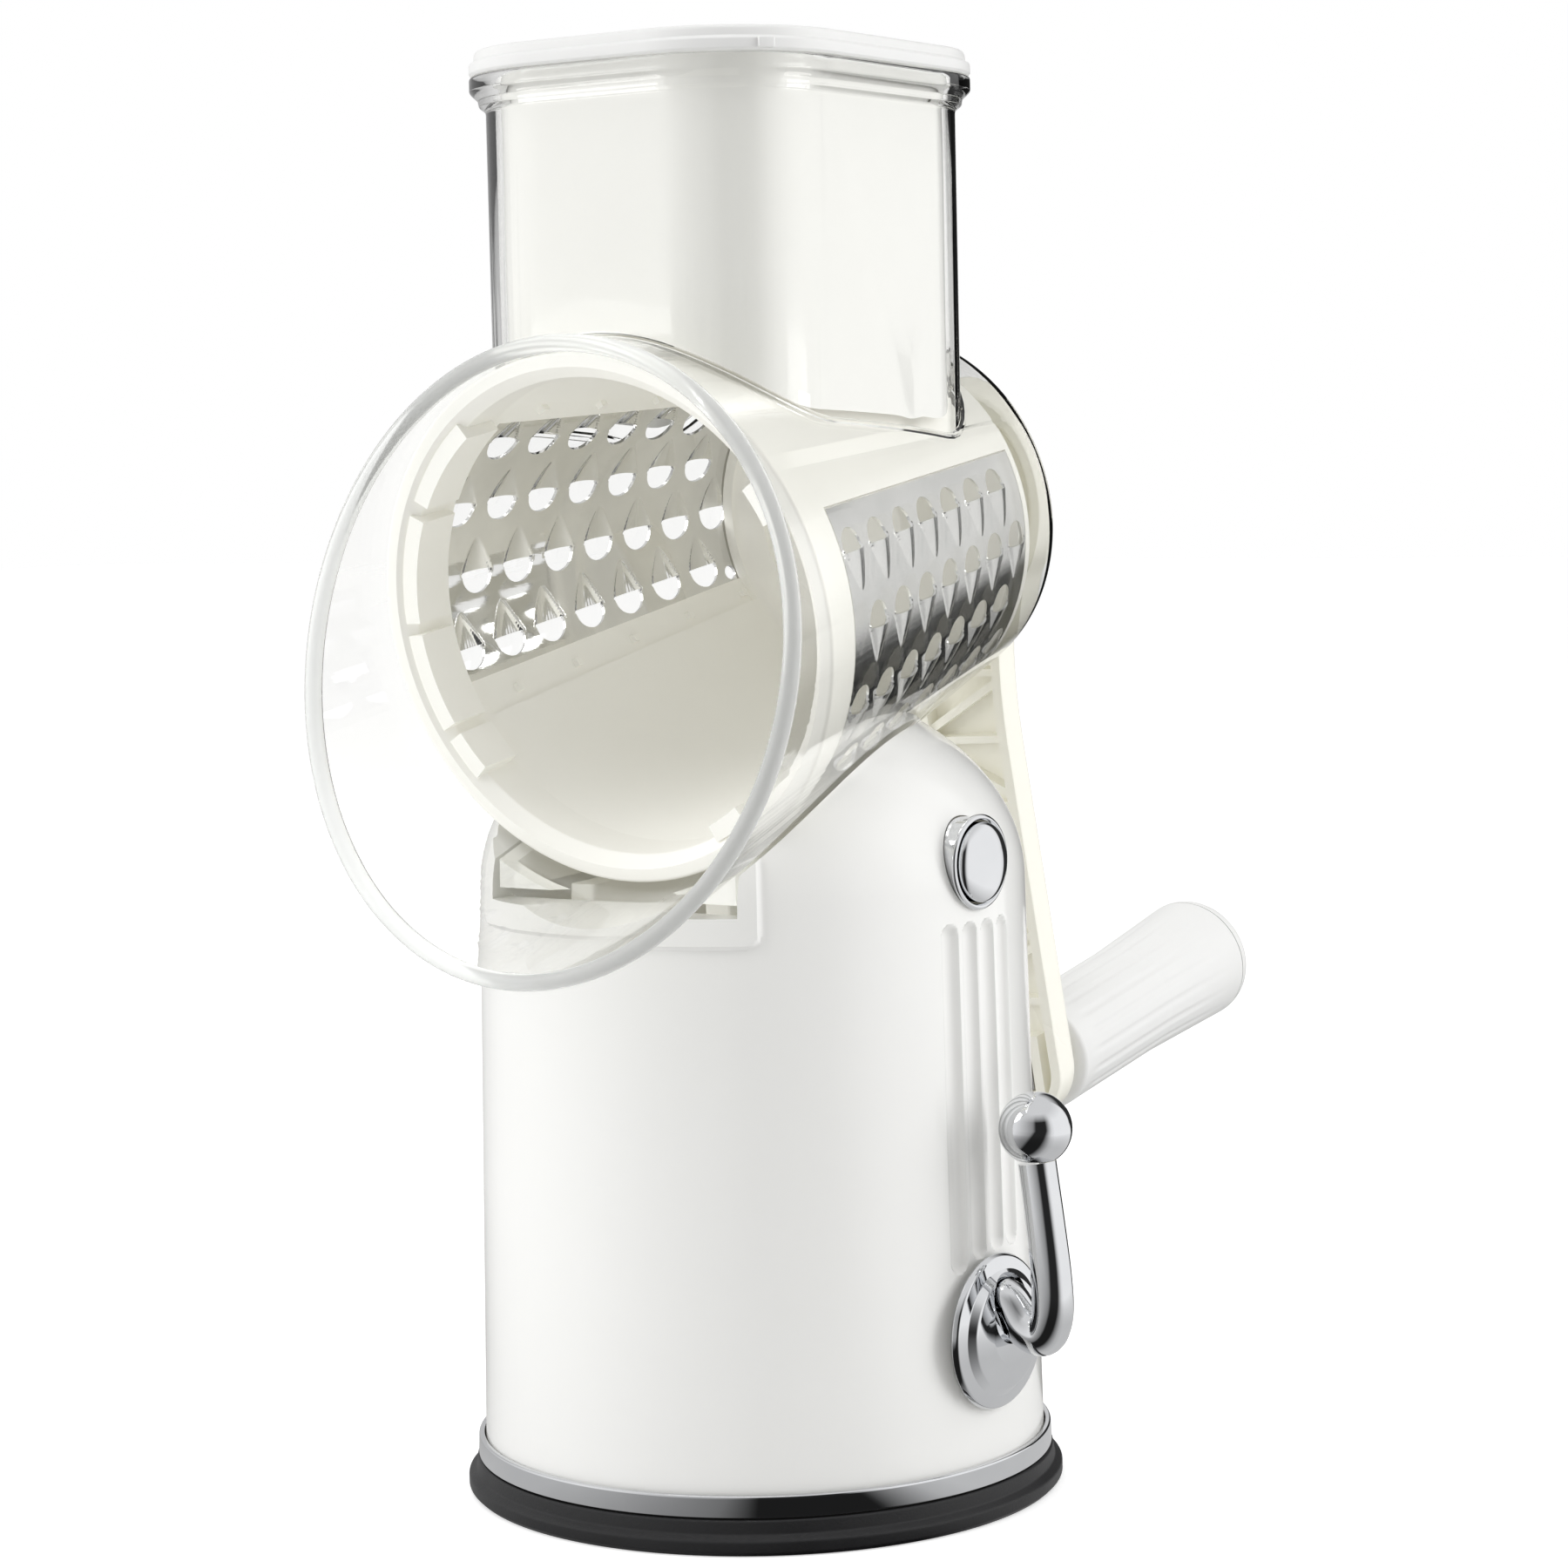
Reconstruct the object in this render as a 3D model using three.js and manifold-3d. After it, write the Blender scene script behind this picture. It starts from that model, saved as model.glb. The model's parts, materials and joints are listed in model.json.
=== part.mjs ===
// Hand-cranked rotary drum grater on a suction stand.
// Millimetres, +Z up, the drum mouth faces -Y, the crank is at +Y and the controls are at +X.
// The origin is the centre of the flat underside of the suction cup.
import * as THREE from 'three';
import { mergeVertices } from 'three/addons/utils/BufferGeometryUtils.js';
import Module from 'manifold-3d';

const wasm = await Module();
wasm.setup();

// ---------------------------------------------------------------- driving sizes
const CLEARANCE = 0.3;            // gap between pieces that rest on or in each other
const RUNNING_CLEARANCE = 0.5;    // gap between pieces that turn or slide

// stand
const BODY_FOOT_RADIUS = 56.4;
const BODY_DRAW = 2;              // how much slimmer the body is at its shoulder than at its foot
const BODY_WALL = 3;
const CUP_MARGIN = 3.6;           // how far the cup stands out past the foot of the body
const CUP_HEIGHT = 6.6;
const CUP_RECESS_INSET = 6.4;     // from the body's foot in to the recess on top of the cup
const CUP_MEMBRANE = 1.6;
const SHOULDER_DROP = 62.6;       // from the drum axis down to where the tower turns into its dome
const DOME_HEIGHT = 40;
const BAND_HEIGHT = 4.2;
const BAND_THICKNESS = 1.2;
const PLATE_THICKNESS = 3;
const BASE_SCREW_INSET = 7.9;      // from the edge of the base plate in to its screws
const BASE_SCREW_COUNT = 4;
const BOSS_TOP = 31;

// drum axis, shared by the barrel, drum and crank
const AXIS_HEIGHT = 183.6;
const AXIS_TILT = THREE.MathUtils.degToRad(10);
const CONE_SLOPE = 0.15;          // radius lost for each millimetre towards the crank

// clear housing
const BARREL_INSET = 10;          // how much slimmer the barrel is than the foot of the body
const BARREL_WALL = 2;
const BARREL_REAR = 58.7;
const REAR_WALL = 2.4;
const GUARD_TOP_Y = -59;          // front edge of the spout guard, at its top and bottom
const GUARD_BOTTOM_Y = -78;
const GUARD_TOP_RISE = 48;        // from the drum axis up and down to the guard's ends
const GUARD_BOTTOM_DROP = 74.5;
const GUARD_BEAD_RADIUS = 1.7;
const CHUTE_HALF_X = 37;
const CHUTE_HALF_Y = 43;
const CHUTE_CORNER = 23;
const CHUTE_CENTRE_Y = -4;
const CHUTE_WALL = 2.2;
const CHUTE_RISE = 95.4;          // from the drum axis up to the chute's rim
const CHUTE_RIM = 3.1;            // how far the rim stands out from the chute wall
const FOOT_HALF_X = 28;
const FOOT_FRONT = -46;
const FOOT_REAR = 20;
const FOOT_DEPTH = 15.1;          // from the barrel's radius down to the foot's underside
const FOOT_WALL = 2.5;
const RAIL_SETBACK = 11;          // from the foot's ends to the rails that carry it
const RAIL_HALF_WIDTH = 3.2;
const RAIL_INSET = 12;            // from the foot's side to the middle of its rail

// drum
const DRUM_FRONT = -50;
const SHEET_FRONT = -38;
const SHEET_REAR = 46;
const DRUM_REAR = 49;
const SHEET_GAP = 1.7;            // radial space between the sheets and the barrel's inside
const SHEET_THICKNESS = 0.6;
const FRAME_WALL = 2.4;
const RING_WALL = 5.2;            // radial thickness of the drum's front ring
const SHEET_TOP_ANGLE = 22;       // degrees above the horizontal
const SHEET_SPAN = 75;
const TOOTH_ROWS = 4;
const TOOTH_COLUMNS = 7;
const TOOTH_PITCH = 11.4;
const TOOTH_HEIGHT = 1.1;         // how far a tooth stands up from its sheet
const SHAFT_SQUARE = 8.4;
const SHAFT_RADIUS = 6;
const SOCKET_RADIUS = 11;
const SOCKET_DEPTH = 13;
const BUSH_RADIUS = 8.5;

// crank
const ARM_FRONT = 70;
const ARM_DEPTH = 6.6;
const ARM_WEB = 2.5;
const ARM_WALL = 2.4;
const ARM_HUB_RADIUS = 24;
const ARM_END_RADIUS = 11.8;
const ARM_WAIST = 10.9;            // half the arm's width where it is narrowest
const HUB_BOSS_FRONT = 62;
const HUB_BOSS_RADIUS = 11.5;
const CRANK_RADIUS = 128.4;
const CRANK_REST_ANGLE = THREE.MathUtils.degToRad(2.5);
const KNOB_COLLAR = 1.8;          // height of the arm's collar round the knob's pin
const KNOB_COLLAR_RADIUS = 9.4;
const KNOB_LENGTH = 82;
const KNOB_RADIUS = 12.6;
const KNOB_END_RADIUS = 14.2;
const KNOB_PIN_RADIUS = 4;
const KNOB_FLUTES = 18;
const KNOB_PIN_SETBACK = 14;      // from the knob's end to the pin's end
const KNOB_CAP_DEPTH = 8;
const KNOB_CAP_PLUG = 3;
const HUB_CAP_RADIUS = 13;

// pusher
const PUSHER_CLEARANCE = 0.8;
const PUSHER_WALL = 2.2;
const LID_THICKNESS = 5;
const NUB_ANGLE = THREE.MathUtils.degToRad(53);

// controls on the side of the stand
const CONTROLS_ANGLE = THREE.MathUtils.degToRad(-3);
const BUTTON_RISE = 5;            // from the foot's underside up to the button
const BUTTON_RADIUS = 7.7;
const BUTTON_STAND = 1.4;         // how far the button's side stands out of the wall
const BUTTON_DOME = 2.2;
const BUTTON_TRAVEL = 3;
const BEZEL_RADIUS = 9.2;
const FLUTE_COUNT = 4;            // upright grip flutes under the button
const FLUTE_TOP_DROP = 7.5;       // below the shoulder
const FLUTE_BOTTOM = 53.8;
const FLUTE_STAGGER = 2.7;         // how much lower the first flute ends than the last one
const FLUTE_RADIUS = 2.5;
const FLUTE_DEPTH = 1.6;
const FLUTE_PITCH = 0.108;        // radians
const LEVER_Z = 36.2;
const LEVER_HUB_RADIUS = 15.2;
const LEVER_ROD_RADIUS = 4.1;
const LEVER_BALL_RADIUS = 7.1;
const LEVER_REACH = 40.4;
const LEVER_SHAFT_RADIUS = 4;
const CAM_RADIUS = 8;
const CAM_OFFSET = 3;
const STEM_RADIUS = 3;
const BRACKET_OUTER_X = 11;
const BRACKET_INNER_X = -14;
const BRACKET_HALF_Y = 8;
const BRACKET_THICKNESS = 3;
const SHAFT_TAIL = 2;             // how far the lever's shaft passes the inner bracket

// ---------------------------------------------------------------- sizes that follow
const SEGMENTS = 40;
const CUP_RADIUS = BODY_FOOT_RADIUS + CUP_MARGIN;
const CUP_RECESS_RADIUS = BODY_FOOT_RADIUS - CUP_RECESS_INSET;
const BARREL_MID_RADIUS = BODY_FOOT_RADIUS - BARREL_INSET;  // outside, over the stand's centre line
const plateRadius = BODY_FOOT_RADIUS - BODY_WALL - RUNNING_CLEARANCE;
const screwRadius = plateRadius - BASE_SCREW_INSET;
const shoulderZ = AXIS_HEIGHT - SHOULDER_DROP;
const BODY_TOP_RADIUS = BODY_FOOT_RADIUS - BODY_DRAW;
const footBottom = AXIS_HEIGHT - BARREL_MID_RADIUS - FOOT_DEPTH;
const guardTopZ = AXIS_HEIGHT + GUARD_TOP_RISE;
const guardBottomZ = AXIS_HEIGHT - GUARD_BOTTOM_DROP;
const chuteTop = AXIS_HEIGHT + CHUTE_RISE;
const buttonZ = footBottom + BUTTON_RISE;
const fluteTop = shoulderZ - FLUTE_TOP_DROP;
const bodyBottom = CUP_HEIGHT + CLEARANCE;
const domeTop = shoulderZ + DOME_HEIGHT;
const plateTop = bodyBottom + PLATE_THICKNESS;
const outerRadius = (s) => BARREL_MID_RADIUS - CONE_SLOPE * s;
const innerRadius = (s) => outerRadius(s) - BARREL_WALL;
const sheetRadius = (s) => innerRadius(s) - SHEET_GAP;
const RING_OPENING = innerRadius(DRUM_FRONT) - RUNNING_CLEARANCE - RING_WALL;
const bodyRadius = (z) => THREE.MathUtils.mapLinear(z, bodyBottom, shoulderZ,
  BODY_FOOT_RADIUS, BODY_TOP_RADIUS);
const bodyTaper = (BODY_FOOT_RADIUS - BODY_TOP_RADIUS) / (shoulderZ - bodyBottom);
const slotHalf = FOOT_HALF_X + 1;
const slotFloor = footBottom - 2.3;
const troughFloor = footBottom - 9.5;

// ---------------------------------------------------------------- materials
const material = (color, roughness, metalness = 0, extra = {}) =>
  new THREE.MeshStandardMaterial({ color, roughness, metalness, ...extra });
const whitePlastic = () => material(0xf4f3ee, 0.28);
const innerPlastic = () => material(0xe9e6d8, 0.45);
const clearPlastic = () => material(0xe6eef0, 0.08, 0, { transparent: true, opacity: 0.3 });
const chrome = () => material(0xd9dbde, 0.08, 1);
const steel = () => material(0xb9bbbd, 0.22, 1);
const rubber = () => material(0x141414, 0.7);

// ---------------------------------------------------------------- solid helpers
function solid(geometry) {
  const plain = geometry.index ? geometry.toNonIndexed() : geometry.clone();
  plain.deleteAttribute('normal');
  plain.deleteAttribute('uv');
  const merged = mergeVertices(plain, 1e-4);
  return new wasm.Manifold(new wasm.Mesh({
    numProp: 3,
    vertProperties: new Float32Array(merged.attributes.position.array),
    triVerts: new Uint32Array(merged.index.array),
  }));
}

function geometryOf(body) {
  const mesh = body.getMesh();
  const geometry = new THREE.BufferGeometry();
  const positions = new Float32Array(mesh.vertProperties);
  geometry.setAttribute('position', new THREE.BufferAttribute(positions, 3));
  geometry.setIndex(new THREE.BufferAttribute(new Uint32Array(mesh.triVerts), 1));
  const shaded = geometry.toNonIndexed();
  shaded.computeVertexNormals();
  return shaded;
}

const join = (...geometries) => geometryOf(
  geometries.map(solid).reduce((whole, piece) => whole.add(piece)));

function carve(base, ...tools) {
  return geometryOf(tools.map(solid).reduce((whole, tool) => whole.subtract(tool), solid(base)));
}

const box = (x0, x1, y0, y1, z0, z1) => new THREE.BoxGeometry(x1 - x0, y1 - y0, z1 - z0)
  .translate((x0 + x1) / 2, (y0 + y1) / 2, (z0 + z1) / 2);

// A cone or cylinder along +Y between two stations.
const alongY = (s0, s1, r0, r1 = r0, segments = SEGMENTS) =>
  new THREE.CylinderGeometry(r1, r0, s1 - s0, segments).translate(0, (s0 + s1) / 2, 0);
// The same along +Z, and along +X.
const alongZ = (z0, z1, r0, r1 = r0, segments = 24) =>
  alongY(z0, z1, r0, r1, segments).rotateX(Math.PI / 2);
const alongX = (x0, x1, r0, r1 = r0, segments = 24) =>
  alongY(x0, x1, r0, r1, segments).rotateZ(-Math.PI / 2);

// A turned shape about +Y from [radius, station] pairs; about +Z when stood up.
function turned(profile, segments = SEGMENTS) {
  const points = profile.map(([radius, station]) => new THREE.Vector2(radius, station));
  return new THREE.LatheGeometry(points, segments);
}
const turnedZ = (profile, segments = SEGMENTS) => turned(profile, segments).rotateX(Math.PI / 2);

function ringY(s0, s1, inner, outer, segments = SEGMENTS) {
  return turned([[inner, s0], [outer, s0], [outer, s1], [inner, s1], [inner, s0]], segments);
}

function roundedRectangle(halfX, halfY, corner, centreY = 0) {
  const shape = new THREE.Shape();
  const x = halfX - corner;
  const y = halfY - corner;
  shape.absarc(x, centreY + y, corner, 0, Math.PI / 2);
  shape.absarc(-x, centreY + y, corner, Math.PI / 2, Math.PI);
  shape.absarc(-x, centreY - y, corner, Math.PI, 1.5 * Math.PI);
  shape.absarc(x, centreY - y, corner, 1.5 * Math.PI, 2 * Math.PI);
  return shape;
}

// A rounded rectangular block of the chute family; grow widens it on all sides.
function chuteBlock(grow, z0, z1) {
  const shape = roundedRectangle(CHUTE_HALF_X + grow, CHUTE_HALF_Y + grow,
    CHUTE_CORNER + grow, CHUTE_CENTRE_Y);
  return new THREE.ExtrudeGeometry(shape, { depth: z1 - z0, bevelEnabled: false, curveSegments: 5 })
    .translate(0, 0, z0);
}

const tiltMatrix = new THREE.Matrix4().makeTranslation(0, 0, AXIS_HEIGHT)
  .multiply(new THREE.Matrix4().makeRotationX(AXIS_TILT));
const tilted = (geometry) => geometry.clone().applyMatrix4(tiltMatrix);

// A cone that follows the barrel's slope, offset outwards from its outside.
const barrelCone = (offset, s0, s1, segments = SEGMENTS) =>
  alongY(s0, s1, outerRadius(s0) + offset, outerRadius(s1) + offset, segments);

function coil(radius, wire, turns, start, end, segmentsPerTurn = 7) {
  class Helix extends THREE.Curve {
    getPoint(t, target = new THREE.Vector3()) {
      const angle = t * turns * 2 * Math.PI;
      return target.set(radius * Math.cos(angle), THREE.MathUtils.lerp(start, end, t),
        radius * Math.sin(angle));
    }
  }
  return tube(new Helix(), wire, turns * segmentsPerTurn, 4);
}

// The section's arc is divided into twice its curveSegments.
function tube(curve, radius, steps, sides = 12) {
  const section = new THREE.Shape().absarc(0, 0, radius, 0, 2 * Math.PI);
  return new THREE.ExtrudeGeometry(section, { steps, extrudePath: curve,
    curveSegments: sides / 2 });
}

function screw(headRadius, headHeight, shankRadius, shankLength) {
  return turned([[0, 0], [headRadius * 0.8, 0], [headRadius, headHeight * 0.4],
    [headRadius, headHeight], [shankRadius, headHeight],
    [shankRadius, headHeight + shankLength], [0, headHeight + shankLength]], 10);
}

// ---------------------------------------------------------------- scene graph
const group = new THREE.Group();
const drumGroup = new THREE.Group();
drumGroup.position.z = AXIS_HEIGHT;
drumGroup.rotation.x = AXIS_TILT;
const crankGroup = new THREE.Group();
crankGroup.rotation.y = -CRANK_REST_ANGLE;
const controlsGroup = new THREE.Group();
controlsGroup.rotation.z = CONTROLS_ANGLE;
drumGroup.add(crankGroup);
group.add(drumGroup, controlsGroup);

function place(parent, name, geometry, look) {
  const mesh = new THREE.Mesh(geometry, look);
  mesh.name = name;
  parent.add(mesh);
  return mesh;
}

// ---------------------------------------------------------------- stand
function domeProfile(inset) {
  const steps = 6;
  const points = [];
  for (let i = 0; i <= steps; i += 1) {
    const angle = (i / steps) * Math.PI / 2;
    points.push([(BODY_TOP_RADIUS - inset) * Math.cos(angle),
      shoulderZ + (DOME_HEIGHT - inset) * Math.sin(angle)]);
  }
  points[steps][0] = 0;
  return points;
}

function buildBodyShell() {
  const outer = turnedZ([[0, bodyBottom], [BODY_FOOT_RADIUS, bodyBottom], ...domeProfile(0)]);
  const inner = turnedZ([[0, bodyBottom - 1], [BODY_FOOT_RADIUS - BODY_WALL, bodyBottom - 1],
    ...domeProfile(BODY_WALL)]);
  const saddle = tilted(barrelCone(RUNNING_CLEARANCE, -100, 90));
  const saddleWall = tilted(barrelCone(RUNNING_CLEARANCE + BODY_WALL, -100, 90));
  const troughRear = FOOT_REAR + 1;
  // the trough is deepest behind the wall, and its mouth is a shallow cut through the wall
  const innerCorner = bodyRadius(troughFloor) - BODY_WALL;
  const troughFront = -Math.sqrt(innerCorner ** 2 - slotHalf ** 2);
  const troughWall = box(-slotHalf - BODY_WALL, slotHalf + BODY_WALL, troughFront - BODY_WALL,
    troughRear + BODY_WALL, troughFloor - BODY_WALL, domeTop);
  const mouthWall = box(-slotHalf - BODY_WALL, slotHalf + BODY_WALL, -CUP_RADIUS, troughFront,
    slotFloor - BODY_WALL, domeTop);
  const cavity = solid(inner).subtract(solid(saddleWall)).subtract(solid(troughWall))
    .subtract(solid(mouthWall));
  const trough = box(-slotHalf, slotHalf, troughFront, troughRear, troughFloor, domeTop + 5);
  const mouth = box(-slotHalf, slotHalf, -CUP_RADIUS - 5, troughFront + 1, slotFloor, domeTop + 5);
  let shell = solid(outer).subtract(cavity).subtract(solid(trough)).subtract(solid(mouth));
  // bosses for the base screws
  for (let i = 0; i < BASE_SCREW_COUNT; i += 1) {
    const angle = (i + 0.5) * 2 * Math.PI / BASE_SCREW_COUNT;
    const boss = alongZ(plateTop + CLEARANCE, BOSS_TOP, 5.4, 5.4, 8)
      .translate(screwRadius * Math.cos(angle), screwRadius * Math.sin(angle), 0);
    const web = box(screwRadius, BODY_FOOT_RADIUS - BODY_WALL / 2, -1.2, 1.2,
      plateTop + CLEARANCE, BOSS_TOP).rotateZ(angle);
    const pilot = alongZ(plateTop - 1, BOSS_TOP - 4, 1.6, 1.6, 6)
      .translate(screwRadius * Math.cos(angle), screwRadius * Math.sin(angle), 0);
    shell = shell.add(solid(boss)).add(solid(web)).subtract(solid(pilot));
  }
  // raised border round the mouth of the slot
  const borderOuter = box(-slotHalf - 5, slotHalf + 3.6, -70, -30, slotFloor - 6, slotFloor + 14);
  const borderBand = solid(alongZ(slotFloor - 6, slotFloor + 14, BODY_TOP_RADIUS + 0.9,
    BODY_TOP_RADIUS + 0.9, SEGMENTS)).subtract(solid(alongZ(0, 200, BODY_TOP_RADIUS - 1)));
  const border = borderBand.intersect(solid(borderOuter)).subtract(solid(mouth))
    .subtract(solid(tilted(barrelCone(RUNNING_CLEARANCE, -100, 90))));
  shell = shell.add(border);
  // holes and grip flutes on the control side
  const turn = (geometry) => geometry.rotateZ(CONTROLS_ANGLE);
  shell = shell.subtract(solid(saddle))
    .subtract(solid(turn(alongX(40, 70, BUTTON_RADIUS + 1.1).translate(0, 0, buttonZ))))
    .subtract(solid(turn(alongX(40, 70, LEVER_SHAFT_RADIUS + 2.3).translate(0, 0, LEVER_Z))))
    .subtract(solid(turn(box(slotHalf - 1, slotHalf + BODY_WALL + 1, -3.6, 3.6,
      troughFloor + 3.4, footBottom - 0.1))));
  for (let i = 0; i < FLUTE_COUNT; i += 1) {
    const bottom = FLUTE_BOTTOM - FLUTE_STAGGER * (1 - i / (FLUTE_COUNT - 1)) ** 3;
    const middle = (fluteTop + bottom) / 2;
    const flute = new THREE.CapsuleGeometry(FLUTE_RADIUS, fluteTop - bottom, 3, 8)
      .rotateX(Math.PI / 2)
      .rotateY(-bodyTaper)
      .translate(bodyRadius(middle) + FLUTE_RADIUS - FLUTE_DEPTH, 0, middle)
      .rotateZ((i - (FLUTE_COUNT - 1) / 2) * FLUTE_PITCH);
    shell = shell.subtract(solid(turn(flute)));
  }
  return geometryOf(shell);
}

place(group, 'body_shell', buildBodyShell(), whitePlastic());

place(group, 'suction_cup', turnedZ([[0, 0], [CUP_RADIUS - 0.8, 0], [CUP_RADIUS, 0.9],
  [CUP_RADIUS, 3.4], [CUP_RADIUS - 1.3, 4.4], [BODY_FOOT_RADIUS + 1.6, CUP_HEIGHT],
  [CUP_RECESS_RADIUS, CUP_HEIGHT], [CUP_RECESS_RADIUS, 3.8], [20, 3.8], [20, CUP_MEMBRANE],
  [0, CUP_MEMBRANE]]), rubber());

function buildBasePlate() {
  const holes = [alongZ(bodyBottom - 1, plateTop + 1, STEM_RADIUS + RUNNING_CLEARANCE)];
  for (let i = 0; i < BASE_SCREW_COUNT; i += 1) {
    const angle = (i + 0.5) * 2 * Math.PI / BASE_SCREW_COUNT;
    holes.push(alongZ(bodyBottom - 1, plateTop + 1, 2.3, 2.3, 12)
      .translate(screwRadius * Math.cos(angle), screwRadius * Math.sin(angle), 0));
  }
  return carve(alongZ(bodyBottom, plateTop, plateRadius, plateRadius, 28), ...holes);
}
place(group, 'base_plate', buildBasePlate(), innerPlastic());

const bandInner = BODY_FOOT_RADIUS + CLEARANCE;
place(group, 'chrome_band', turnedZ([[bandInner, bodyBottom], [bandInner + BAND_THICKNESS, bodyBottom],
  [bandInner + BAND_THICKNESS, bodyBottom + BAND_HEIGHT - 0.6],
  [bandInner + 0.6, bodyBottom + BAND_HEIGHT], [bandInner, bodyBottom + BAND_HEIGHT],
  [bandInner, bodyBottom]]), chrome());

for (let i = 0; i < BASE_SCREW_COUNT; i += 1) {
  const angle = (i + 0.5) * 2 * Math.PI / BASE_SCREW_COUNT;
  const mesh = place(group, `base_screw_${i + 1}`,
    screw(3.6, 2.2, 1.3, PLATE_THICKNESS + 10).rotateX(Math.PI / 2), steel());
  mesh.position.set(screwRadius * Math.cos(angle), screwRadius * Math.sin(angle),
    bodyBottom - 2.2 - CLEARANCE);
}

// rails on the floor of the trough that carry the housing's foot
for (const [name, side] of [['seat_rail_left', -1], ['seat_rail_right', 1]]) {
  const railLength = FOOT_REAR - FOOT_FRONT - 2 * RAIL_SETBACK;
  const railHeight = footBottom - troughFloor - 2 * CLEARANCE;
  const geometry = new THREE.ExtrudeGeometry(roundedRectangle(RAIL_HALF_WIDTH, railLength / 2, 1),
    { depth: railHeight, bevelEnabled: false, curveSegments: 2 });
  const mesh = place(group, name, geometry, innerPlastic());
  mesh.position.set(side * (FOOT_HALF_X - RAIL_INSET), (FOOT_FRONT + FOOT_REAR) / 2,
    troughFloor + CLEARANCE);
}

// ---------------------------------------------------------------- clear housing
// The front of the barrel is cut by a surface that sweeps forwards from top to bottom.
function guardEdgeY(z) {
  const drop = (guardTopZ - z) / (guardTopZ - guardBottomZ);
  const t = THREE.MathUtils.clamp(drop, 0, 1);
  return THREE.MathUtils.lerp(GUARD_TOP_Y, GUARD_BOTTOM_Y, t ** 1.4);
}

function guardCutter() {
  const shape = new THREE.Shape();
  const steps = 8;
  shape.moveTo(-140, guardBottomZ - 30);
  for (let i = 0; i <= steps; i += 1) {
    const z = THREE.MathUtils.lerp(guardBottomZ - 3, guardTopZ + 3, i / steps);
    if (i === 0) shape.lineTo(guardEdgeY(z), guardBottomZ - 30);
    shape.lineTo(guardEdgeY(z), z);
  }
  shape.lineTo(guardEdgeY(guardTopZ), guardTopZ + 30);
  shape.lineTo(-140, guardTopZ + 30);
  return new THREE.ExtrudeGeometry(shape, { depth: 160, bevelEnabled: false })
    .applyMatrix4(new THREE.Matrix4().set(0, 0, 1, -80, 1, 0, 0, 0, 0, 1, 0, 0, 0, 0, 0, 1));
}

// The edge of the guard: where the cone, widened a little at the top, meets that surface.
class GuardEdge extends THREE.Curve {
  getPoint(t, target = new THREE.Vector3()) {
    const angle = t * 2 * Math.PI;
    const cos = Math.cos(AXIS_TILT);
    const sin = Math.sin(AXIS_TILT);
    let s = -60;
    for (let i = 0; i < 12; i += 1) {
      const radius = outerRadius(s) - BARREL_WALL / 2;
      const y = s * cos - radius * Math.sin(angle) * sin;
      const z = AXIS_HEIGHT + s * sin + radius * Math.sin(angle) * cos;
      s += (guardEdgeY(z) - y) / cos;
    }
    const radius = outerRadius(s) - BARREL_WALL / 2;
    return target.set(radius * Math.cos(angle), s * cos - radius * Math.sin(angle) * sin,
      AXIS_HEIGHT + s * sin + radius * Math.sin(angle) * cos);
  }
}

const barrelFront = -96;
const throat = () => solid(chuteBlock(-CHUTE_WALL, AXIS_HEIGHT, chuteTop + 1));
// The room that the barrel takes, which its chute and foot stand clear of.
const barrelRoom = () => solid(tilted(barrelCone(CLEARANCE, barrelFront, BARREL_REAR, 96)));

function buildBarrel() {
  const bore = tilted(barrelCone(-BARREL_WALL, barrelFront - 1, BARREL_REAR - REAR_WALL));
  const bushHole = tilted(alongY(BARREL_REAR - 10, BARREL_REAR + 5, BUSH_RADIUS + CLEARANCE));
  const barrel = solid(tilted(barrelCone(0, barrelFront, BARREL_REAR))).subtract(solid(bore))
    .subtract(throat()).subtract(solid(bushHole)).subtract(solid(guardCutter()));
  const bead = new THREE.TubeGeometry(new GuardEdge(), 36, GUARD_BEAD_RADIUS, 6, true);
  return geometryOf(barrel.add(solid(bead)));
}
place(group, 'barrel_shell', buildBarrel(), clearPlastic());

function buildChute() {
  return geometryOf(solid(chuteBlock(0, AXIS_HEIGHT + 8, chuteTop))
    .add(solid(chuteBlock(CHUTE_RIM * 0.45, chuteTop - 6.2, chuteTop - 3.4)))
    .add(solid(chuteBlock(CHUTE_RIM, chuteTop - 3.8, chuteTop)))
    .subtract(throat()).subtract(barrelRoom()));
}
place(group, 'feed_chute', buildChute(), clearPlastic());

function buildFoot() {
  const foot = box(-FOOT_HALF_X, FOOT_HALF_X, FOOT_FRONT, FOOT_REAR, footBottom, AXIS_HEIGHT);
  const inside = box(-FOOT_HALF_X + FOOT_WALL, FOOT_HALF_X - FOOT_WALL,
    FOOT_FRONT + FOOT_WALL, FOOT_REAR - FOOT_WALL, footBottom - 1, AXIS_HEIGHT + 1);
  const notch = box(FOOT_HALF_X - FOOT_WALL - 1, FOOT_HALF_X + 1, -3.6, 3.6,
    footBottom - 1, footBottom + 5.6).rotateZ(CONTROLS_ANGLE);
  return geometryOf(solid(foot).subtract(solid(inside)).subtract(solid(notch))
    .subtract(barrelRoom()));
}
place(group, 'housing_foot', buildFoot(), clearPlastic());

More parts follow.
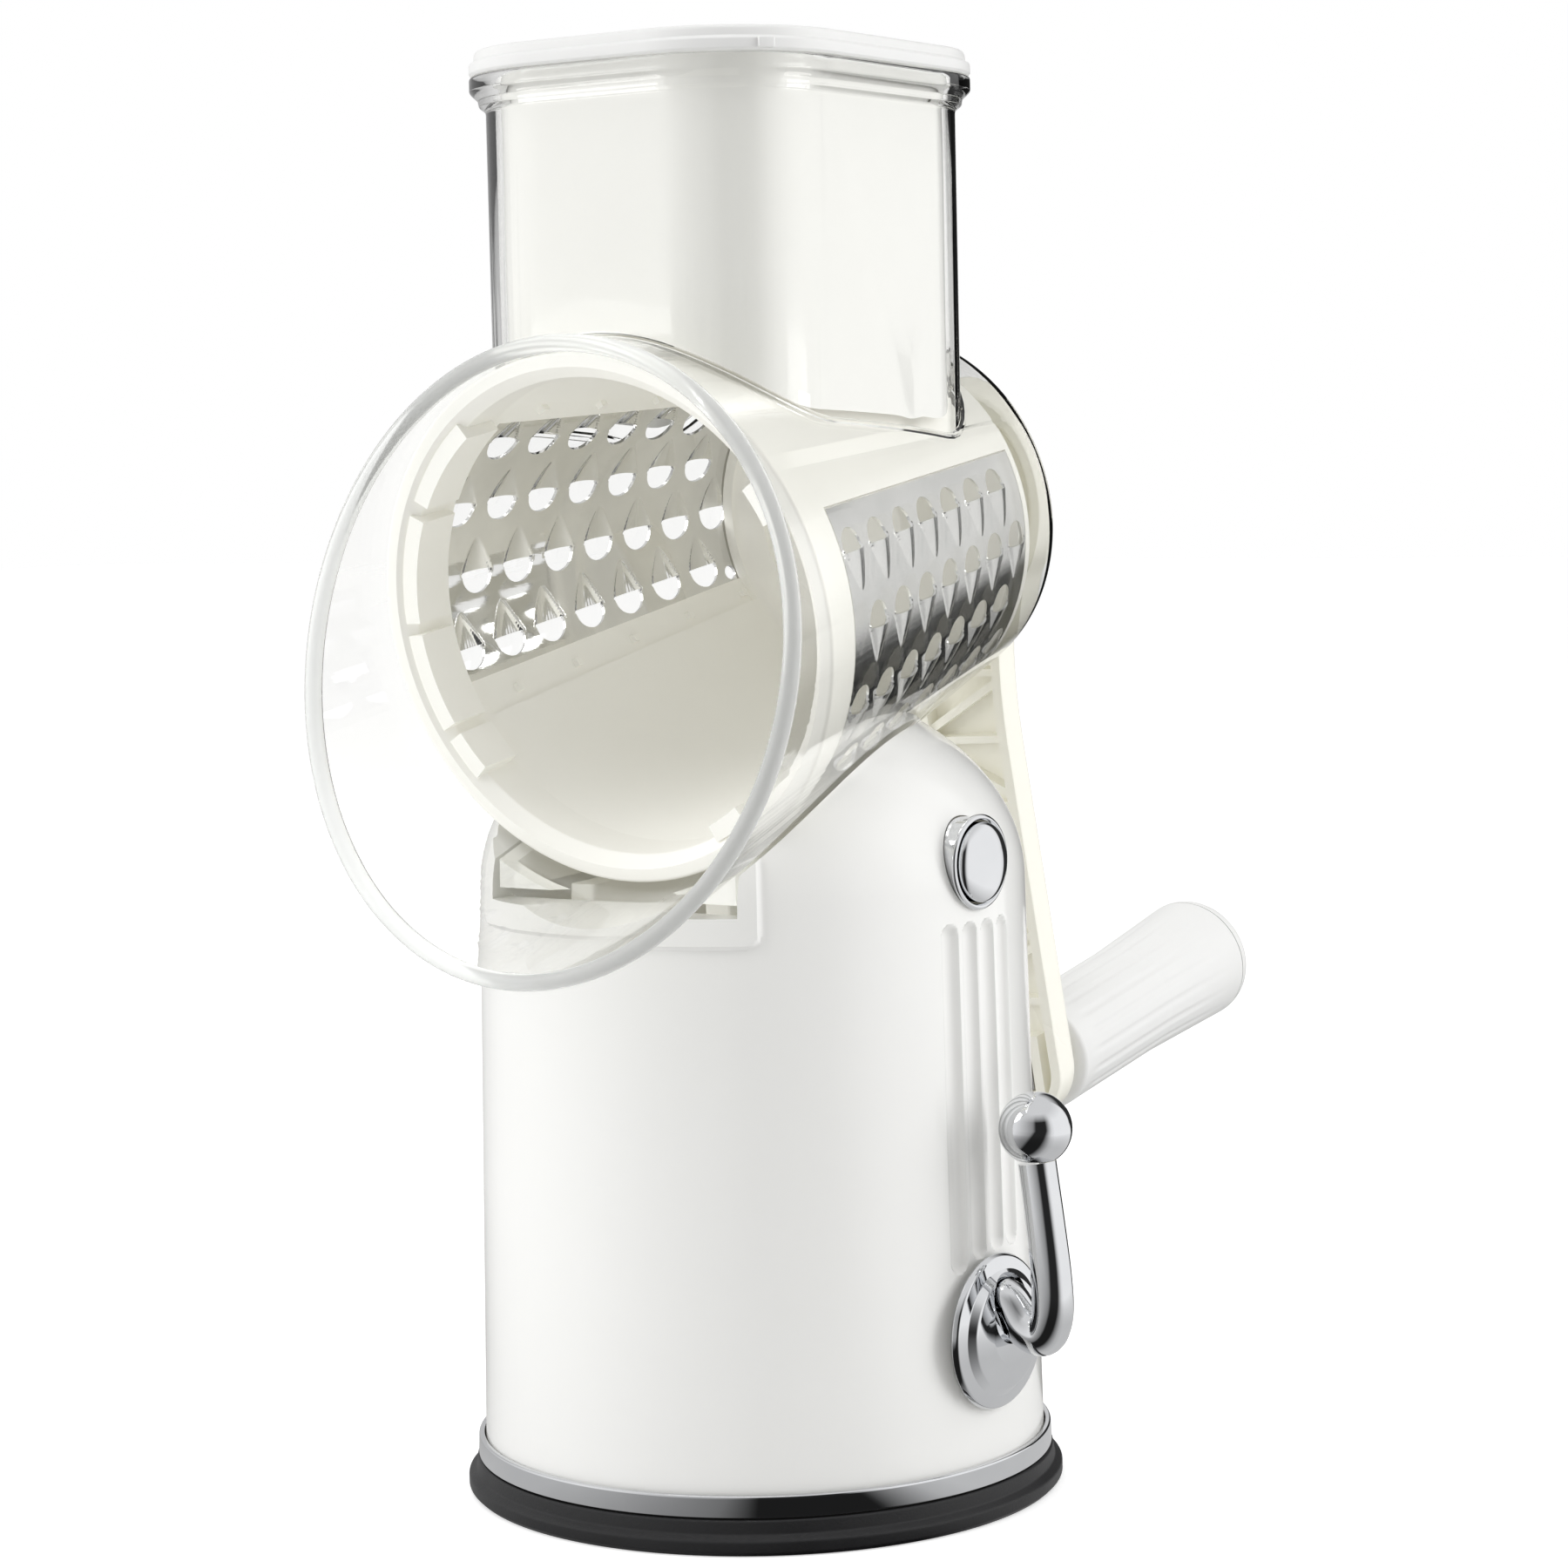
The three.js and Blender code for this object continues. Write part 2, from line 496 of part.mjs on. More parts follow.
place(drumGroup, 'rear_bush', turned([[SHAFT_RADIUS + CLEARANCE, BARREL_REAR - REAR_WALL - 2.3],
  [BUSH_RADIUS + 3, BARREL_REAR - REAR_WALL - 2.3], [BUSH_RADIUS + 3, BARREL_REAR - REAR_WALL - 0.3],
  [BUSH_RADIUS, BARREL_REAR - REAR_WALL - 0.3], [BUSH_RADIUS, BARREL_REAR + 1.5],
  [SHAFT_RADIUS + CLEARANCE, BARREL_REAR + 1.5],
  [SHAFT_RADIUS + CLEARANCE, BARREL_REAR - REAR_WALL - 2.3]], 32), innerPlastic());

// ---------------------------------------------------------------- drum
// A block that spans the window of one sheet: angles in degrees, stations along the axis.
function sector(r0, r1, s0, s1, from, to) {
  const shape = new THREE.Shape();
  const a = THREE.MathUtils.degToRad(from);
  const b = THREE.MathUtils.degToRad(to);
  shape.absarc(0, 0, r1, a, b, false);
  shape.absarc(0, 0, r0, b, a, true);
  return new THREE.ExtrudeGeometry(shape, { depth: s1 - s0, bevelEnabled: false, curveSegments: 5 })
    .rotateX(Math.PI / 2).translate(0, s1, 0);
}

const sheetBottomAngle = SHEET_TOP_ANGLE - SHEET_SPAN;
const drumWindows = [sheetBottomAngle, sheetBottomAngle + 180];

function buildDrumFrame() {
  const outside = (s) => sheetRadius(s);
  const profile = [[RING_OPENING, DRUM_FRONT], [innerRadius(DRUM_FRONT) - RUNNING_CLEARANCE, DRUM_FRONT],
    [innerRadius(DRUM_FRONT + 6) - RUNNING_CLEARANCE, DRUM_FRONT + 6],
    [outside(DRUM_FRONT + 7), DRUM_FRONT + 7],
    [outside(DRUM_REAR), DRUM_REAR], [0, DRUM_REAR], [0, DRUM_REAR - FRAME_WALL],
    [outside(DRUM_REAR - FRAME_WALL) - FRAME_WALL, DRUM_REAR - FRAME_WALL],
    [outside(SHEET_FRONT) - FRAME_WALL, SHEET_FRONT], [RING_OPENING, SHEET_FRONT - 2],
    [RING_OPENING, DRUM_FRONT]];
  let frame = solid(turned(profile));
  for (const start of drumWindows) {
    frame = frame.subtract(solid(sector(20, 60, SHEET_FRONT + 1, SHEET_REAR - 2,
      start + 2.5, start + SHEET_SPAN - 2.5)));
    // the rebate that the sheet lies in
    const seat = solid(alongY(SHEET_FRONT - CLEARANCE, SHEET_REAR + CLEARANCE,
      outside(SHEET_FRONT) + 1, outside(SHEET_REAR) + 1))
      .subtract(solid(alongY(SHEET_FRONT - 1, SHEET_REAR + 1,
        outside(SHEET_FRONT - 1) - SHEET_THICKNESS - CLEARANCE,
        outside(SHEET_REAR + 1) - SHEET_THICKNESS - CLEARANCE)))
      .intersect(solid(sector(20, 60, SHEET_FRONT - CLEARANCE, SHEET_REAR + CLEARANCE,
        start - 0.5, start + SHEET_SPAN + 0.5)));
    frame = frame.subtract(seat);
  }
  const socket = solid(alongY(DRUM_REAR - SOCKET_DEPTH, DRUM_REAR - 1, SOCKET_RADIUS, SOCKET_RADIUS, 32));
  const square = SHAFT_SQUARE / 2 + CLEARANCE;
  const socketHole = box(-square, square, DRUM_REAR - SOCKET_DEPTH + 2, DRUM_REAR + 1, -square, square);
  frame = frame.add(socket).subtract(solid(socketHole));
  // raised lugs round the inside of the front ring
  for (const angle of [170, 80, -10, -100]) {
    const lug = sector(RING_OPENING - 2.2, RING_OPENING + 1.5, DRUM_FRONT + 0.5, DRUM_FRONT + 10.5,
      angle - 15, angle + 15);
    frame = frame.add(solid(lug));
  }
  return geometryOf(frame);
}
place(drumGroup, 'drum_frame', buildDrumFrame(), innerPlastic());

const toothAngles = (start) => Array.from({ length: TOOTH_ROWS },
  (_, row) => start + SHEET_SPAN * (row + 0.62) / (TOOTH_ROWS + 0.2));

function buildSheet(start) {
  const radiusAt = sheetRadius;
  const outline = solid(alongY(SHEET_FRONT, SHEET_REAR, radiusAt(SHEET_FRONT),
    radiusAt(SHEET_REAR)))
    .subtract(solid(alongY(SHEET_FRONT - 1, SHEET_REAR + 1,
      radiusAt(SHEET_FRONT - 1) - SHEET_THICKNESS, radiusAt(SHEET_REAR + 1) - SHEET_THICKNESS)))
    .intersect(solid(sector(20, 60, SHEET_FRONT, SHEET_REAR, start, start + SHEET_SPAN)));
  let sheet = outline;
  toothAngles(start).forEach((angle, row) => {
    for (let column = 0; column < TOOTH_COLUMNS; column += 1) {
      const s = SHEET_FRONT + 4.9 + TOOTH_PITCH * (column + ((row + 1) % 2) * 0.5);
      const onSheet = (geometry) => geometry.rotateZ(-Math.PI / 2)
        .translate(radiusAt(s), s, 0).rotateY(-THREE.MathUtils.degToRad(angle));
      const hole = new THREE.CylinderGeometry(3.4, 3.4, 8, 4).scale(1, 1, 0.85);
      const tooth = new THREE.ConeGeometry(4, TOOTH_HEIGHT + 0.3, 3).rotateY(Math.PI)
        .translate(0, TOOTH_HEIGHT / 2 - 0.15, 2.2);
      sheet = sheet.add(solid(onSheet(tooth))).subtract(solid(onSheet(hole)));
    }
  });
  return geometryOf(sheet);
}
place(drumGroup, 'grating_sheet_right', buildSheet(drumWindows[0]), steel());
place(drumGroup, 'grating_sheet_left', buildSheet(drumWindows[1]), steel());

// ---------------------------------------------------------------- crank
const armRear = ARM_FRONT + ARM_DEPTH;

function armOutline(inset) {
  const shape = new THREE.Shape();
  const hub = ARM_HUB_RADIUS - inset;
  const end = ARM_END_RADIUS - inset;
  const waist = ARM_WAIST - inset;
  shape.absarc(0, 0, hub, -0.25 * Math.PI, 1.25 * Math.PI, false);
  shape.quadraticCurveTo(-waist, -ARM_HUB_RADIUS * 1.2, -waist, -CRANK_RADIUS * 0.42);
  shape.lineTo(-end, -CRANK_RADIUS);
  shape.absarc(0, -CRANK_RADIUS, end, Math.PI, 2 * Math.PI, false);
  shape.lineTo(waist, -CRANK_RADIUS * 0.42);
  shape.quadraticCurveTo(waist, -ARM_HUB_RADIUS * 1.2,
    hub * Math.cos(-0.25 * Math.PI), hub * Math.sin(-0.25 * Math.PI));
  return shape;
}

// Extrudes an outline drawn in the arm's own plane (x across, y up) between two stations.
const armSolid = (shape, s0, s1) => new THREE.ExtrudeGeometry(shape,
  { depth: s1 - s0, bevelEnabled: false, curveSegments: 6 }).rotateX(Math.PI / 2).translate(0, s1, 0);

function armRibs() {
  const ribs = [];
  const top = -ARM_HUB_RADIUS;
  const bottom = -CRANK_RADIUS + ARM_END_RADIUS + 4;
  const count = 6;
  const pitch = (top - bottom) / count;
  for (let i = 0; i < count; i += 1) {
    const side = i % 2 === 0 ? 1 : -1;
    const reach = ARM_END_RADIUS + 1.5;
    const from = new THREE.Vector2(-side * reach, top - i * pitch);
    const to = new THREE.Vector2(side * reach, top - (i + 1) * pitch);
    const across = new THREE.Vector2(to.y - from.y, from.x - to.x).setLength(0.9);
    ribs.push(new THREE.Shape([from.clone().add(across), to.clone().add(across),
      to.clone().sub(across), from.clone().sub(across)]));
    ribs.push(new THREE.Shape([[-reach, to.y - 0.8], [reach, to.y - 0.8],
      [reach, to.y + 0.8], [-reach, to.y + 0.8]].map(([x, y]) => new THREE.Vector2(x, y))));
  }
  return ribs;
}

function buildArm() {
  const outline = solid(armSolid(armOutline(0), ARM_FRONT, armRear));
  const pocketShape = armOutline(ARM_WALL);
  const pocket = solid(armSolid(pocketShape, ARM_FRONT - 1, armRear - ARM_WEB));
  const limits = solid(armSolid(armOutline(0.4), ARM_FRONT + 1, armRear));
  let arm = outline.subtract(pocket);
  for (const rib of armRibs()) {
    arm = arm.add(solid(armSolid(rib, ARM_FRONT + 1, armRear - 1)).intersect(limits));
  }
  const boss = solid(alongY(HUB_BOSS_FRONT, armRear, HUB_BOSS_RADIUS, HUB_BOSS_RADIUS, 32));
  const ring = solid(ringY(ARM_FRONT, armRear - 1, ARM_HUB_RADIUS - 8, ARM_HUB_RADIUS - 6, 32));
  const pinBoss = solid(box(-7.2, 7.2, ARM_FRONT, armRear, -CRANK_RADIUS - 7, -CRANK_RADIUS + 8));
  const square = SHAFT_SQUARE / 2 + CLEARANCE;
  const squareHole = solid(box(-square, square, HUB_BOSS_FRONT - 1, armRear - 3, -square, square));
  const screwHole = solid(alongY(armRear - 5, armRear + 1, 2.4, 2.4, 12));
  const pinHead = solid(box(-4.6, 4.6, ARM_FRONT - 1, ARM_FRONT + 4, -CRANK_RADIUS - 5,
    -CRANK_RADIUS + 5));
  const collar = solid(alongY(armRear - 1, armRear + KNOB_COLLAR, KNOB_COLLAR_RADIUS,
    KNOB_COLLAR_RADIUS, 32).translate(0, 0, -CRANK_RADIUS));
  const pinHole = solid(alongY(ARM_FRONT, armRear + KNOB_COLLAR + 1, KNOB_PIN_RADIUS + CLEARANCE,
    KNOB_PIN_RADIUS + CLEARANCE, 20).translate(0, 0, -CRANK_RADIUS));
  arm = arm.add(boss).add(ring).add(pinBoss).add(collar).subtract(squareHole).subtract(screwHole)
    .subtract(pinHead).subtract(pinHole);
  return geometryOf(arm);
}
place(crankGroup, 'crank_arm', buildArm(), whitePlastic());

function buildShaft() {
  const half = SHAFT_SQUARE / 2;
  const nose = box(-half, half, DRUM_REAR - SOCKET_DEPTH + 3, DRUM_REAR + 1, -half, half);
  const round = alongY(DRUM_REAR + 0.8, HUB_BOSS_FRONT - CLEARANCE, SHAFT_RADIUS, SHAFT_RADIUS, 32);
  const tail = box(-half, half, HUB_BOSS_FRONT - 1, armRear - 3.4, -half, half);
  return carve(join(nose, round, tail),
    alongY(armRear - 14, armRear, 1.5, 1.5, 12));
}
place(crankGroup, 'drive_shaft', buildShaft(), steel());

place(crankGroup, 'thrust_washer', ringY(BARREL_REAR + 1.5 + CLEARANCE, HUB_BOSS_FRONT - CLEARANCE,
  SHAFT_RADIUS + CLEARANCE, BUSH_RADIUS + 2.5, 32), steel());

const armScrew = place(crankGroup, 'arm_screw', screw(5, 2.4, 1.2, 12).rotateX(Math.PI), steel());
armScrew.position.y = armRear + 2.4 + CLEARANCE;

place(crankGroup, 'hub_cap', turned([[0, armRear + 3.4], [6.4, armRear + 3.4],
  [6.4, armRear + CLEARANCE], [HUB_CAP_RADIUS, armRear + CLEARANCE], [HUB_CAP_RADIUS, armRear + 2],
  [HUB_CAP_RADIUS - 2.5, armRear + 4.4],
  [6, armRear + 5.6], [0, armRear + 6]], 32), whitePlastic());

// ---------------------------------------------------------------- crank knob
const knobStart = armRear + KNOB_COLLAR + 1;
const knobEnd = knobStart + KNOB_LENGTH;
const pinEnd = knobEnd - KNOB_PIN_SETBACK;
const gripEnd = knobEnd - KNOB_CAP_DEPTH;
const atKnob = (geometry) => geometry.translate(0, 0, -CRANK_RADIUS);

place(crankGroup, 'knob_pin', atKnob(join(
  box(-4.2, 4.2, ARM_FRONT + 0.6, ARM_FRONT + 3.6, -4.6, 4.6),
  alongY(ARM_FRONT + 3, pinEnd, KNOB_PIN_RADIUS, KNOB_PIN_RADIUS, 20))), steel());

function buildKnob() {
  const body = turned([[KNOB_PIN_RADIUS + CLEARANCE, knobStart], [KNOB_RADIUS - 1.5, knobStart],
    [KNOB_RADIUS, knobStart + 2], [KNOB_RADIUS + 0.2, knobStart + KNOB_LENGTH * 0.5],
    [KNOB_END_RADIUS, gripEnd], [9, gripEnd], [9, pinEnd - 2], [KNOB_PIN_RADIUS + CLEARANCE, pinEnd - 2],
    [KNOB_PIN_RADIUS + CLEARANCE, knobStart]], 2 * KNOB_FLUTES);
  let knob = solid(body);
  for (let i = 0; i < KNOB_FLUTES; i += 1) {
    const flute = alongY(knobStart + 6, gripEnd + 1, 0.9, 1.1, 4)
      .translate(KNOB_RADIUS + 0.7, 0, 0).rotateY(i * 2 * Math.PI / KNOB_FLUTES);
    knob = knob.subtract(solid(flute));
  }
  return atKnob(geometryOf(knob));
}
place(crankGroup, 'knob_grip', buildKnob(), whitePlastic());

place(crankGroup, 'knob_washer', atKnob(ringY(pinEnd - 2 + CLEARANCE, pinEnd - 0.6,
  KNOB_PIN_RADIUS + CLEARANCE, 8.4, 24)), steel());
place(crankGroup, 'knob_clip', atKnob(turned([[0, pinEnd + CLEARANCE], [6, pinEnd + CLEARANCE],
  [6, pinEnd + 1.6], [0, pinEnd + 1.6]], 24)), steel());
place(crankGroup, 'knob_cap', atKnob(turned([[0, gripEnd - KNOB_CAP_PLUG],
  [8.7, gripEnd - KNOB_CAP_PLUG], [8.7, gripEnd + CLEARANCE], [KNOB_END_RADIUS, gripEnd + CLEARANCE],
  [KNOB_END_RADIUS - 0.5, knobEnd - 5], [KNOB_END_RADIUS - 2.2, knobEnd - 2.5],
  [KNOB_END_RADIUS - 5.4, knobEnd - 0.8], [0, knobEnd]], 28)), whitePlastic());

// ---------------------------------------------------------------- pusher
const pusherGrow = -CHUTE_WALL - PUSHER_CLEARANCE;
const lidBottom = chuteTop + CLEARANCE;

function buildPusher() {
  const floor = AXIS_HEIGHT + 20;
  const outside = solid(chuteBlock(pusherGrow, AXIS_HEIGHT + 10, lidBottom + 2));
  const inside = solid(chuteBlock(pusherGrow - PUSHER_WALL, floor, lidBottom + 3));
  const drumSpace = solid(tilted(barrelCone(-BARREL_WALL + 0.9, -90, 90)));
  const drumSpaceGrown = solid(tilted(barrelCone(-BARREL_WALL + 0.9 + PUSHER_WALL, -90, 90)));
  return geometryOf(outside.subtract(inside.subtract(drumSpaceGrown)).subtract(drumSpace));
}
place(group, 'pusher_body', buildPusher(), whitePlastic());

function buildLid() {
  const lidTop = lidBottom + LID_THICKNESS;
  const nub = box(-1.6, 1.6, -CHUTE_CORNER - CHUTE_RIM - 0.4, -CHUTE_CORNER - CHUTE_RIM + 2,
    lidBottom + 0.4, lidBottom + 2.4).rotateZ(NUB_ANGLE)
    .translate(CHUTE_HALF_X - CHUTE_CORNER, CHUTE_CENTRE_Y - CHUTE_HALF_Y + CHUTE_CORNER, 0);
  const lid = solid(chuteBlock(CHUTE_RIM, lidBottom, lidBottom + 3))
    .add(solid(chuteBlock(CHUTE_RIM - 0.8, lidBottom + 2.9, lidTop)))
    .add(solid(nub))
    .subtract(solid(chuteBlock(pusherGrow + CLEARANCE, lidBottom - 1, lidBottom + 2 + CLEARANCE)));
  const locator = solid(chuteBlock(pusherGrow - PUSHER_WALL - CLEARANCE, lidBottom - 5, lidTop - 1))
    .subtract(solid(chuteBlock(pusherGrow - 2 * PUSHER_WALL, lidBottom - 6, lidBottom + 2.6)));
  return geometryOf(lid.add(locator));
}
place(group, 'pusher_lid', buildLid(), whitePlastic());

// ---------------------------------------------------------------- release button and latch
const faceX = bodyRadius(buttonZ - 5);
const bezelOuterX = faceX + 1.3;
place(controlsGroup, 'button_bezel', turned([[BUTTON_RADIUS + 0.4, faceX - 3.9],
  [BUTTON_RADIUS + 0.9, faceX - 3.9], [BUTTON_RADIUS + 0.9, faceX + 0.3],
  [BEZEL_RADIUS, faceX + 0.3], [BEZEL_RADIUS, bezelOuterX - 0.7], [BEZEL_RADIUS - 0.7, bezelOuterX],
  [BUTTON_RADIUS + 0.4, bezelOuterX - 0.4], [BUTTON_RADIUS + 0.4, faceX - 3.9]], 24)
  .rotateZ(-Math.PI / 2).translate(0, 0, buttonZ), chrome());

const buttonBack = faceX - 4;
function buildButton() {
  const dome = [];
  const domeBase = faceX + BUTTON_STAND;
  const steps = 4;
  for (let i = 0; i <= steps; i += 1) {
    const angle = (i / steps) * Math.PI / 2;
    dome.push([BUTTON_RADIUS * Math.cos(angle), domeBase + BUTTON_DOME * Math.sin(angle)]);
  }
  dome[steps][0] = 0;
  return turned([[0, buttonBack], [BUTTON_RADIUS, buttonBack], ...dome], 24)
    .rotateZ(-Math.PI / 2).translate(0, 0, buttonZ);
}
place(controlsGroup, 'release_button', buildButton(), chrome());

// The tooth stands in the foot's wall and clears it when the button is pressed home.
const latchTip = FOOT_HALF_X - FOOT_WALL - 0.2;
const toothEnd = latchTip + BUTTON_TRAVEL - 0.7;
const latchTop = footBottom - 0.6;
place(controlsGroup, 'latch_bar', join(
  box(buttonBack - 3.5, buttonBack - CLEARANCE, -3, 3, latchTop - 4.5, buttonZ + 5),
  box(latchTip, buttonBack - 3, -3, 3, latchTop - 4.5, latchTop),
  box(latchTip, toothEnd, -3, 3, latchTop - 1, footBottom + 4.8)), innerPlastic());

const springEnd = buttonBack - 3.5 - CLEARANCE;
place(controlsGroup, 'button_spring', coil(3.6, 0.5, 5, slotHalf + BODY_WALL + 0.9, springEnd - 0.6)
  .rotateZ(-Math.PI / 2).translate(0, 0, buttonZ), steel());

// ---------------------------------------------------------------- suction lever and stem
const leverFaceX = bodyRadius(LEVER_Z);
const hubBack = leverFaceX + 0.5;
const ballX = hubBack + 10.3;
const shaftStart = BRACKET_INNER_X - SHAFT_TAIL;

function buildLeverHub() {
  const disc = turned([[0, hubBack], [LEVER_HUB_RADIUS - 0.4, hubBack],
    [LEVER_HUB_RADIUS, hubBack + 0.6], [LEVER_HUB_RADIUS - 0.5, hubBack + 1.6],
    [LEVER_HUB_RADIUS - 4, hubBack + 3.4], [LEVER_HUB_RADIUS - 9, hubBack + 4.4],
    [0, hubBack + 4.8]], 32).rotateZ(-Math.PI / 2).translate(0, 0, LEVER_Z);
  const recess = alongX(hubBack + 1, hubBack + 8, 5, 6.2, 20).translate(0, 0, LEVER_Z + 6.4);
  const groove = alongX(hubBack + 1.2, hubBack + 8, 5, 6.8, 20).translate(0, 0, LEVER_Z + 4);
  return carve(disc, recess, groove);
}
place(controlsGroup, 'lever_hub', buildLeverHub(), chrome());

function buildLeverRod() {
  const points = [[hubBack + 1.4, 6.4], [hubBack + 3.4, 6.3], [hubBack + 7.2, 1.8],
    [hubBack + 11.4, 0.6], [hubBack + 13.4, 4.6], [hubBack + 13.4, 12], [hubBack + 12, 24],
    [ballX + 0.3, LEVER_REACH - LEVER_BALL_RADIUS + 0.6]];
  const curve = new THREE.CatmullRomCurve3(points.map(([x, z]) =>
    new THREE.Vector3(x, 0, LEVER_Z + z)), false, 'centripetal');
  return tube(curve, LEVER_ROD_RADIUS, 16, 10);
}
place(controlsGroup, 'lever_rod', buildLeverRod(), chrome());

function buildBall() {
  const ball = new THREE.SphereGeometry(LEVER_BALL_RADIUS, 16, 10)
    .translate(ballX, 0, LEVER_Z + LEVER_REACH);
  const socket = alongZ(LEVER_Z + 30, LEVER_Z + LEVER_REACH - LEVER_BALL_RADIUS + 1.2,
    LEVER_ROD_RADIUS + 1.2, LEVER_ROD_RADIUS + 1.2, 16).translate(ballX, 0, 0);
  return carve(ball, socket);
}
place(controlsGroup, 'lever_ball', buildBall(), chrome());

const leverShaft = place(controlsGroup, 'lever_shaft',
  alongX(shaftStart, hubBack - CLEARANCE, LEVER_SHAFT_RADIUS, LEVER_SHAFT_RADIUS, 20), steel());
leverShaft.position.z = LEVER_Z;

place(controlsGroup, 'lever_bushing', turned([[LEVER_SHAFT_RADIUS + CLEARANCE, leverFaceX - BODY_WALL - 3],
  [LEVER_SHAFT_RADIUS + 5, leverFaceX - BODY_WALL - 3], [LEVER_SHAFT_RADIUS + 5, leverFaceX - BODY_WALL - 1],
  [LEVER_SHAFT_RADIUS + 2, leverFaceX - BODY_WALL - 1], [LEVER_SHAFT_RADIUS + 2, leverFaceX],
  [LEVER_SHAFT_RADIUS + CLEARANCE, leverFaceX],
  [LEVER_SHAFT_RADIUS + CLEARANCE, leverFaceX - BODY_WALL - 3]], 24)
  .rotateZ(-Math.PI / 2).translate(0, 0, LEVER_Z), innerPlastic());

place(controlsGroup, 'lever_cam', carve(
  alongX(-4, 4, CAM_RADIUS, CAM_RADIUS, 28).translate(0, 0, LEVER_Z - CAM_OFFSET),
  alongX(-5, 5, LEVER_SHAFT_RADIUS + CLEARANCE, LEVER_SHAFT_RADIUS + CLEARANCE, 20)
    .translate(0, 0, LEVER_Z)), innerPlastic());

for (const [name, x] of [['cam_bracket_outer', BRACKET_OUTER_X],
  ['cam_bracket_inner', BRACKET_INNER_X]]) {
  place(controlsGroup, name, carve(
    box(x, x + BRACKET_THICKNESS, -BRACKET_HALF_Y, BRACKET_HALF_Y, plateTop + CLEARANCE,
      LEVER_Z + 7),
    alongX(x - 1, x + BRACKET_THICKNESS + 1, LEVER_SHAFT_RADIUS + CLEARANCE,
      LEVER_SHAFT_RADIUS + CLEARANCE, 20).translate(0, 0, LEVER_Z)), innerPlastic());
}
place(controlsGroup, 'shaft_clip', turned([[LEVER_SHAFT_RADIUS + CLEARANCE, shaftStart],
  [LEVER_SHAFT_RADIUS + 2.4, shaftStart], [LEVER_SHAFT_RADIUS + 2.4, shaftStart + 1.4],
  [LEVER_SHAFT_RADIUS + CLEARANCE, shaftStart + 1.4],
  [LEVER_SHAFT_RADIUS + CLEARANCE, shaftStart]], 20)
  .rotateZ(-Math.PI / 2).translate(0, 0, LEVER_Z), steel());

// yoke round the cam, on the stem that pulls the middle of the cup up
const yokeGap = 0.9;
const yokeBottom = LEVER_Z - CAM_OFFSET - CAM_RADIUS - yokeGap;
const yokeTop = LEVER_Z - CAM_OFFSET + CAM_RADIUS + yokeGap;
const yokeHalf = CAM_RADIUS + CAM_OFFSET + 1.5;
place(controlsGroup, 'stem_yoke', carve(
  box(-3.4, 3.4, -yokeHalf - 2.5, yokeHalf + 2.5, yokeBottom - 3, yokeTop + 3),
  box(-5, 5, -yokeHalf, yokeHalf, yokeBottom, yokeTop),
  alongZ(yokeBottom - 4, yokeBottom - 1.2, STEM_RADIUS - 0.7, STEM_RADIUS - 0.7, 20)), innerPlastic());

place(controlsGroup, 'suction_stem', turnedZ([[0, CUP_MEMBRANE + CLEARANCE], [16, CUP_MEMBRANE + CLEARANCE],
  [16, 3.3], [STEM_RADIUS, 3.9], [STEM_RADIUS, yokeBottom - 3.3], [STEM_RADIUS - 1, yokeBottom - 3.3],
  [STEM_RADIUS - 1, yokeBottom - 1.5], [0, yokeBottom - 1.5]], 28), steel());

place(controlsGroup, 'stem_spring', coil(5, 0.7, 4, plateTop + 1.1, yokeBottom - 4.2)
  .rotateX(Math.PI / 2), steel());

export default group;
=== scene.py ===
"""Looks of a hand-cranked rotary drum grater on a suction stand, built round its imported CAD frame.

Metres, +Z up. The drum's mouth faces -Y, the crank is at +Y and the controls are at +X.
"""
import json
import logging
import math
from dataclasses import dataclass
from enum import Enum
from typing import Sequence

import bmesh
import bpy
import numpy as np
from mathutils import Matrix, Vector


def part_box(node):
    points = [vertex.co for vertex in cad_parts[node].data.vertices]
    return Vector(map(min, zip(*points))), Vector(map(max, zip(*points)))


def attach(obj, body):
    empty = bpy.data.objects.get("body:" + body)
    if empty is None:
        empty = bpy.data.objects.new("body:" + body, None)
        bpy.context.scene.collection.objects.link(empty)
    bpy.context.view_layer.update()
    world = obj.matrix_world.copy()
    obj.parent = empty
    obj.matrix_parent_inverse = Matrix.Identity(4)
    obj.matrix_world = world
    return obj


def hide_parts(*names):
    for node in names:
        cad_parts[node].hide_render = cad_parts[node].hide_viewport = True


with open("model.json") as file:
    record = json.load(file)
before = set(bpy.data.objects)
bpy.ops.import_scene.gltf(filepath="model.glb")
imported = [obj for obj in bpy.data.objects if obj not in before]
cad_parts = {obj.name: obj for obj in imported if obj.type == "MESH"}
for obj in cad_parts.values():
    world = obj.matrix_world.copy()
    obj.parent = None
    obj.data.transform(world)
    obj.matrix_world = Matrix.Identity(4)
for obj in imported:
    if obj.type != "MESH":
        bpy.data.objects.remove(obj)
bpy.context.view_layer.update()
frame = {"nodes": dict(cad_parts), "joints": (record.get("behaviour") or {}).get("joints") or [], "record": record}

LOG = logging.getLogger("grater")
Array = np.ndarray
MM = 0.001
MERGE_DISTANCE = 2e-6      # metres
SLIVER_LENGTH = 1e-7       # metres
SIDEWAYS = (0.31, 0.17, 0.94)      # a direction that no path starts along


class Slot(Enum):
    """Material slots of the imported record."""

    WHITE = "white_gloss"
    CREAM = "cream_satin"
    CLEAR = "clear_plastic"
    RUBBER = "black_rubber"
    CHROME = "polished_chrome"
    GRATING = "grating_steel"
    STEEL = "plain_steel"


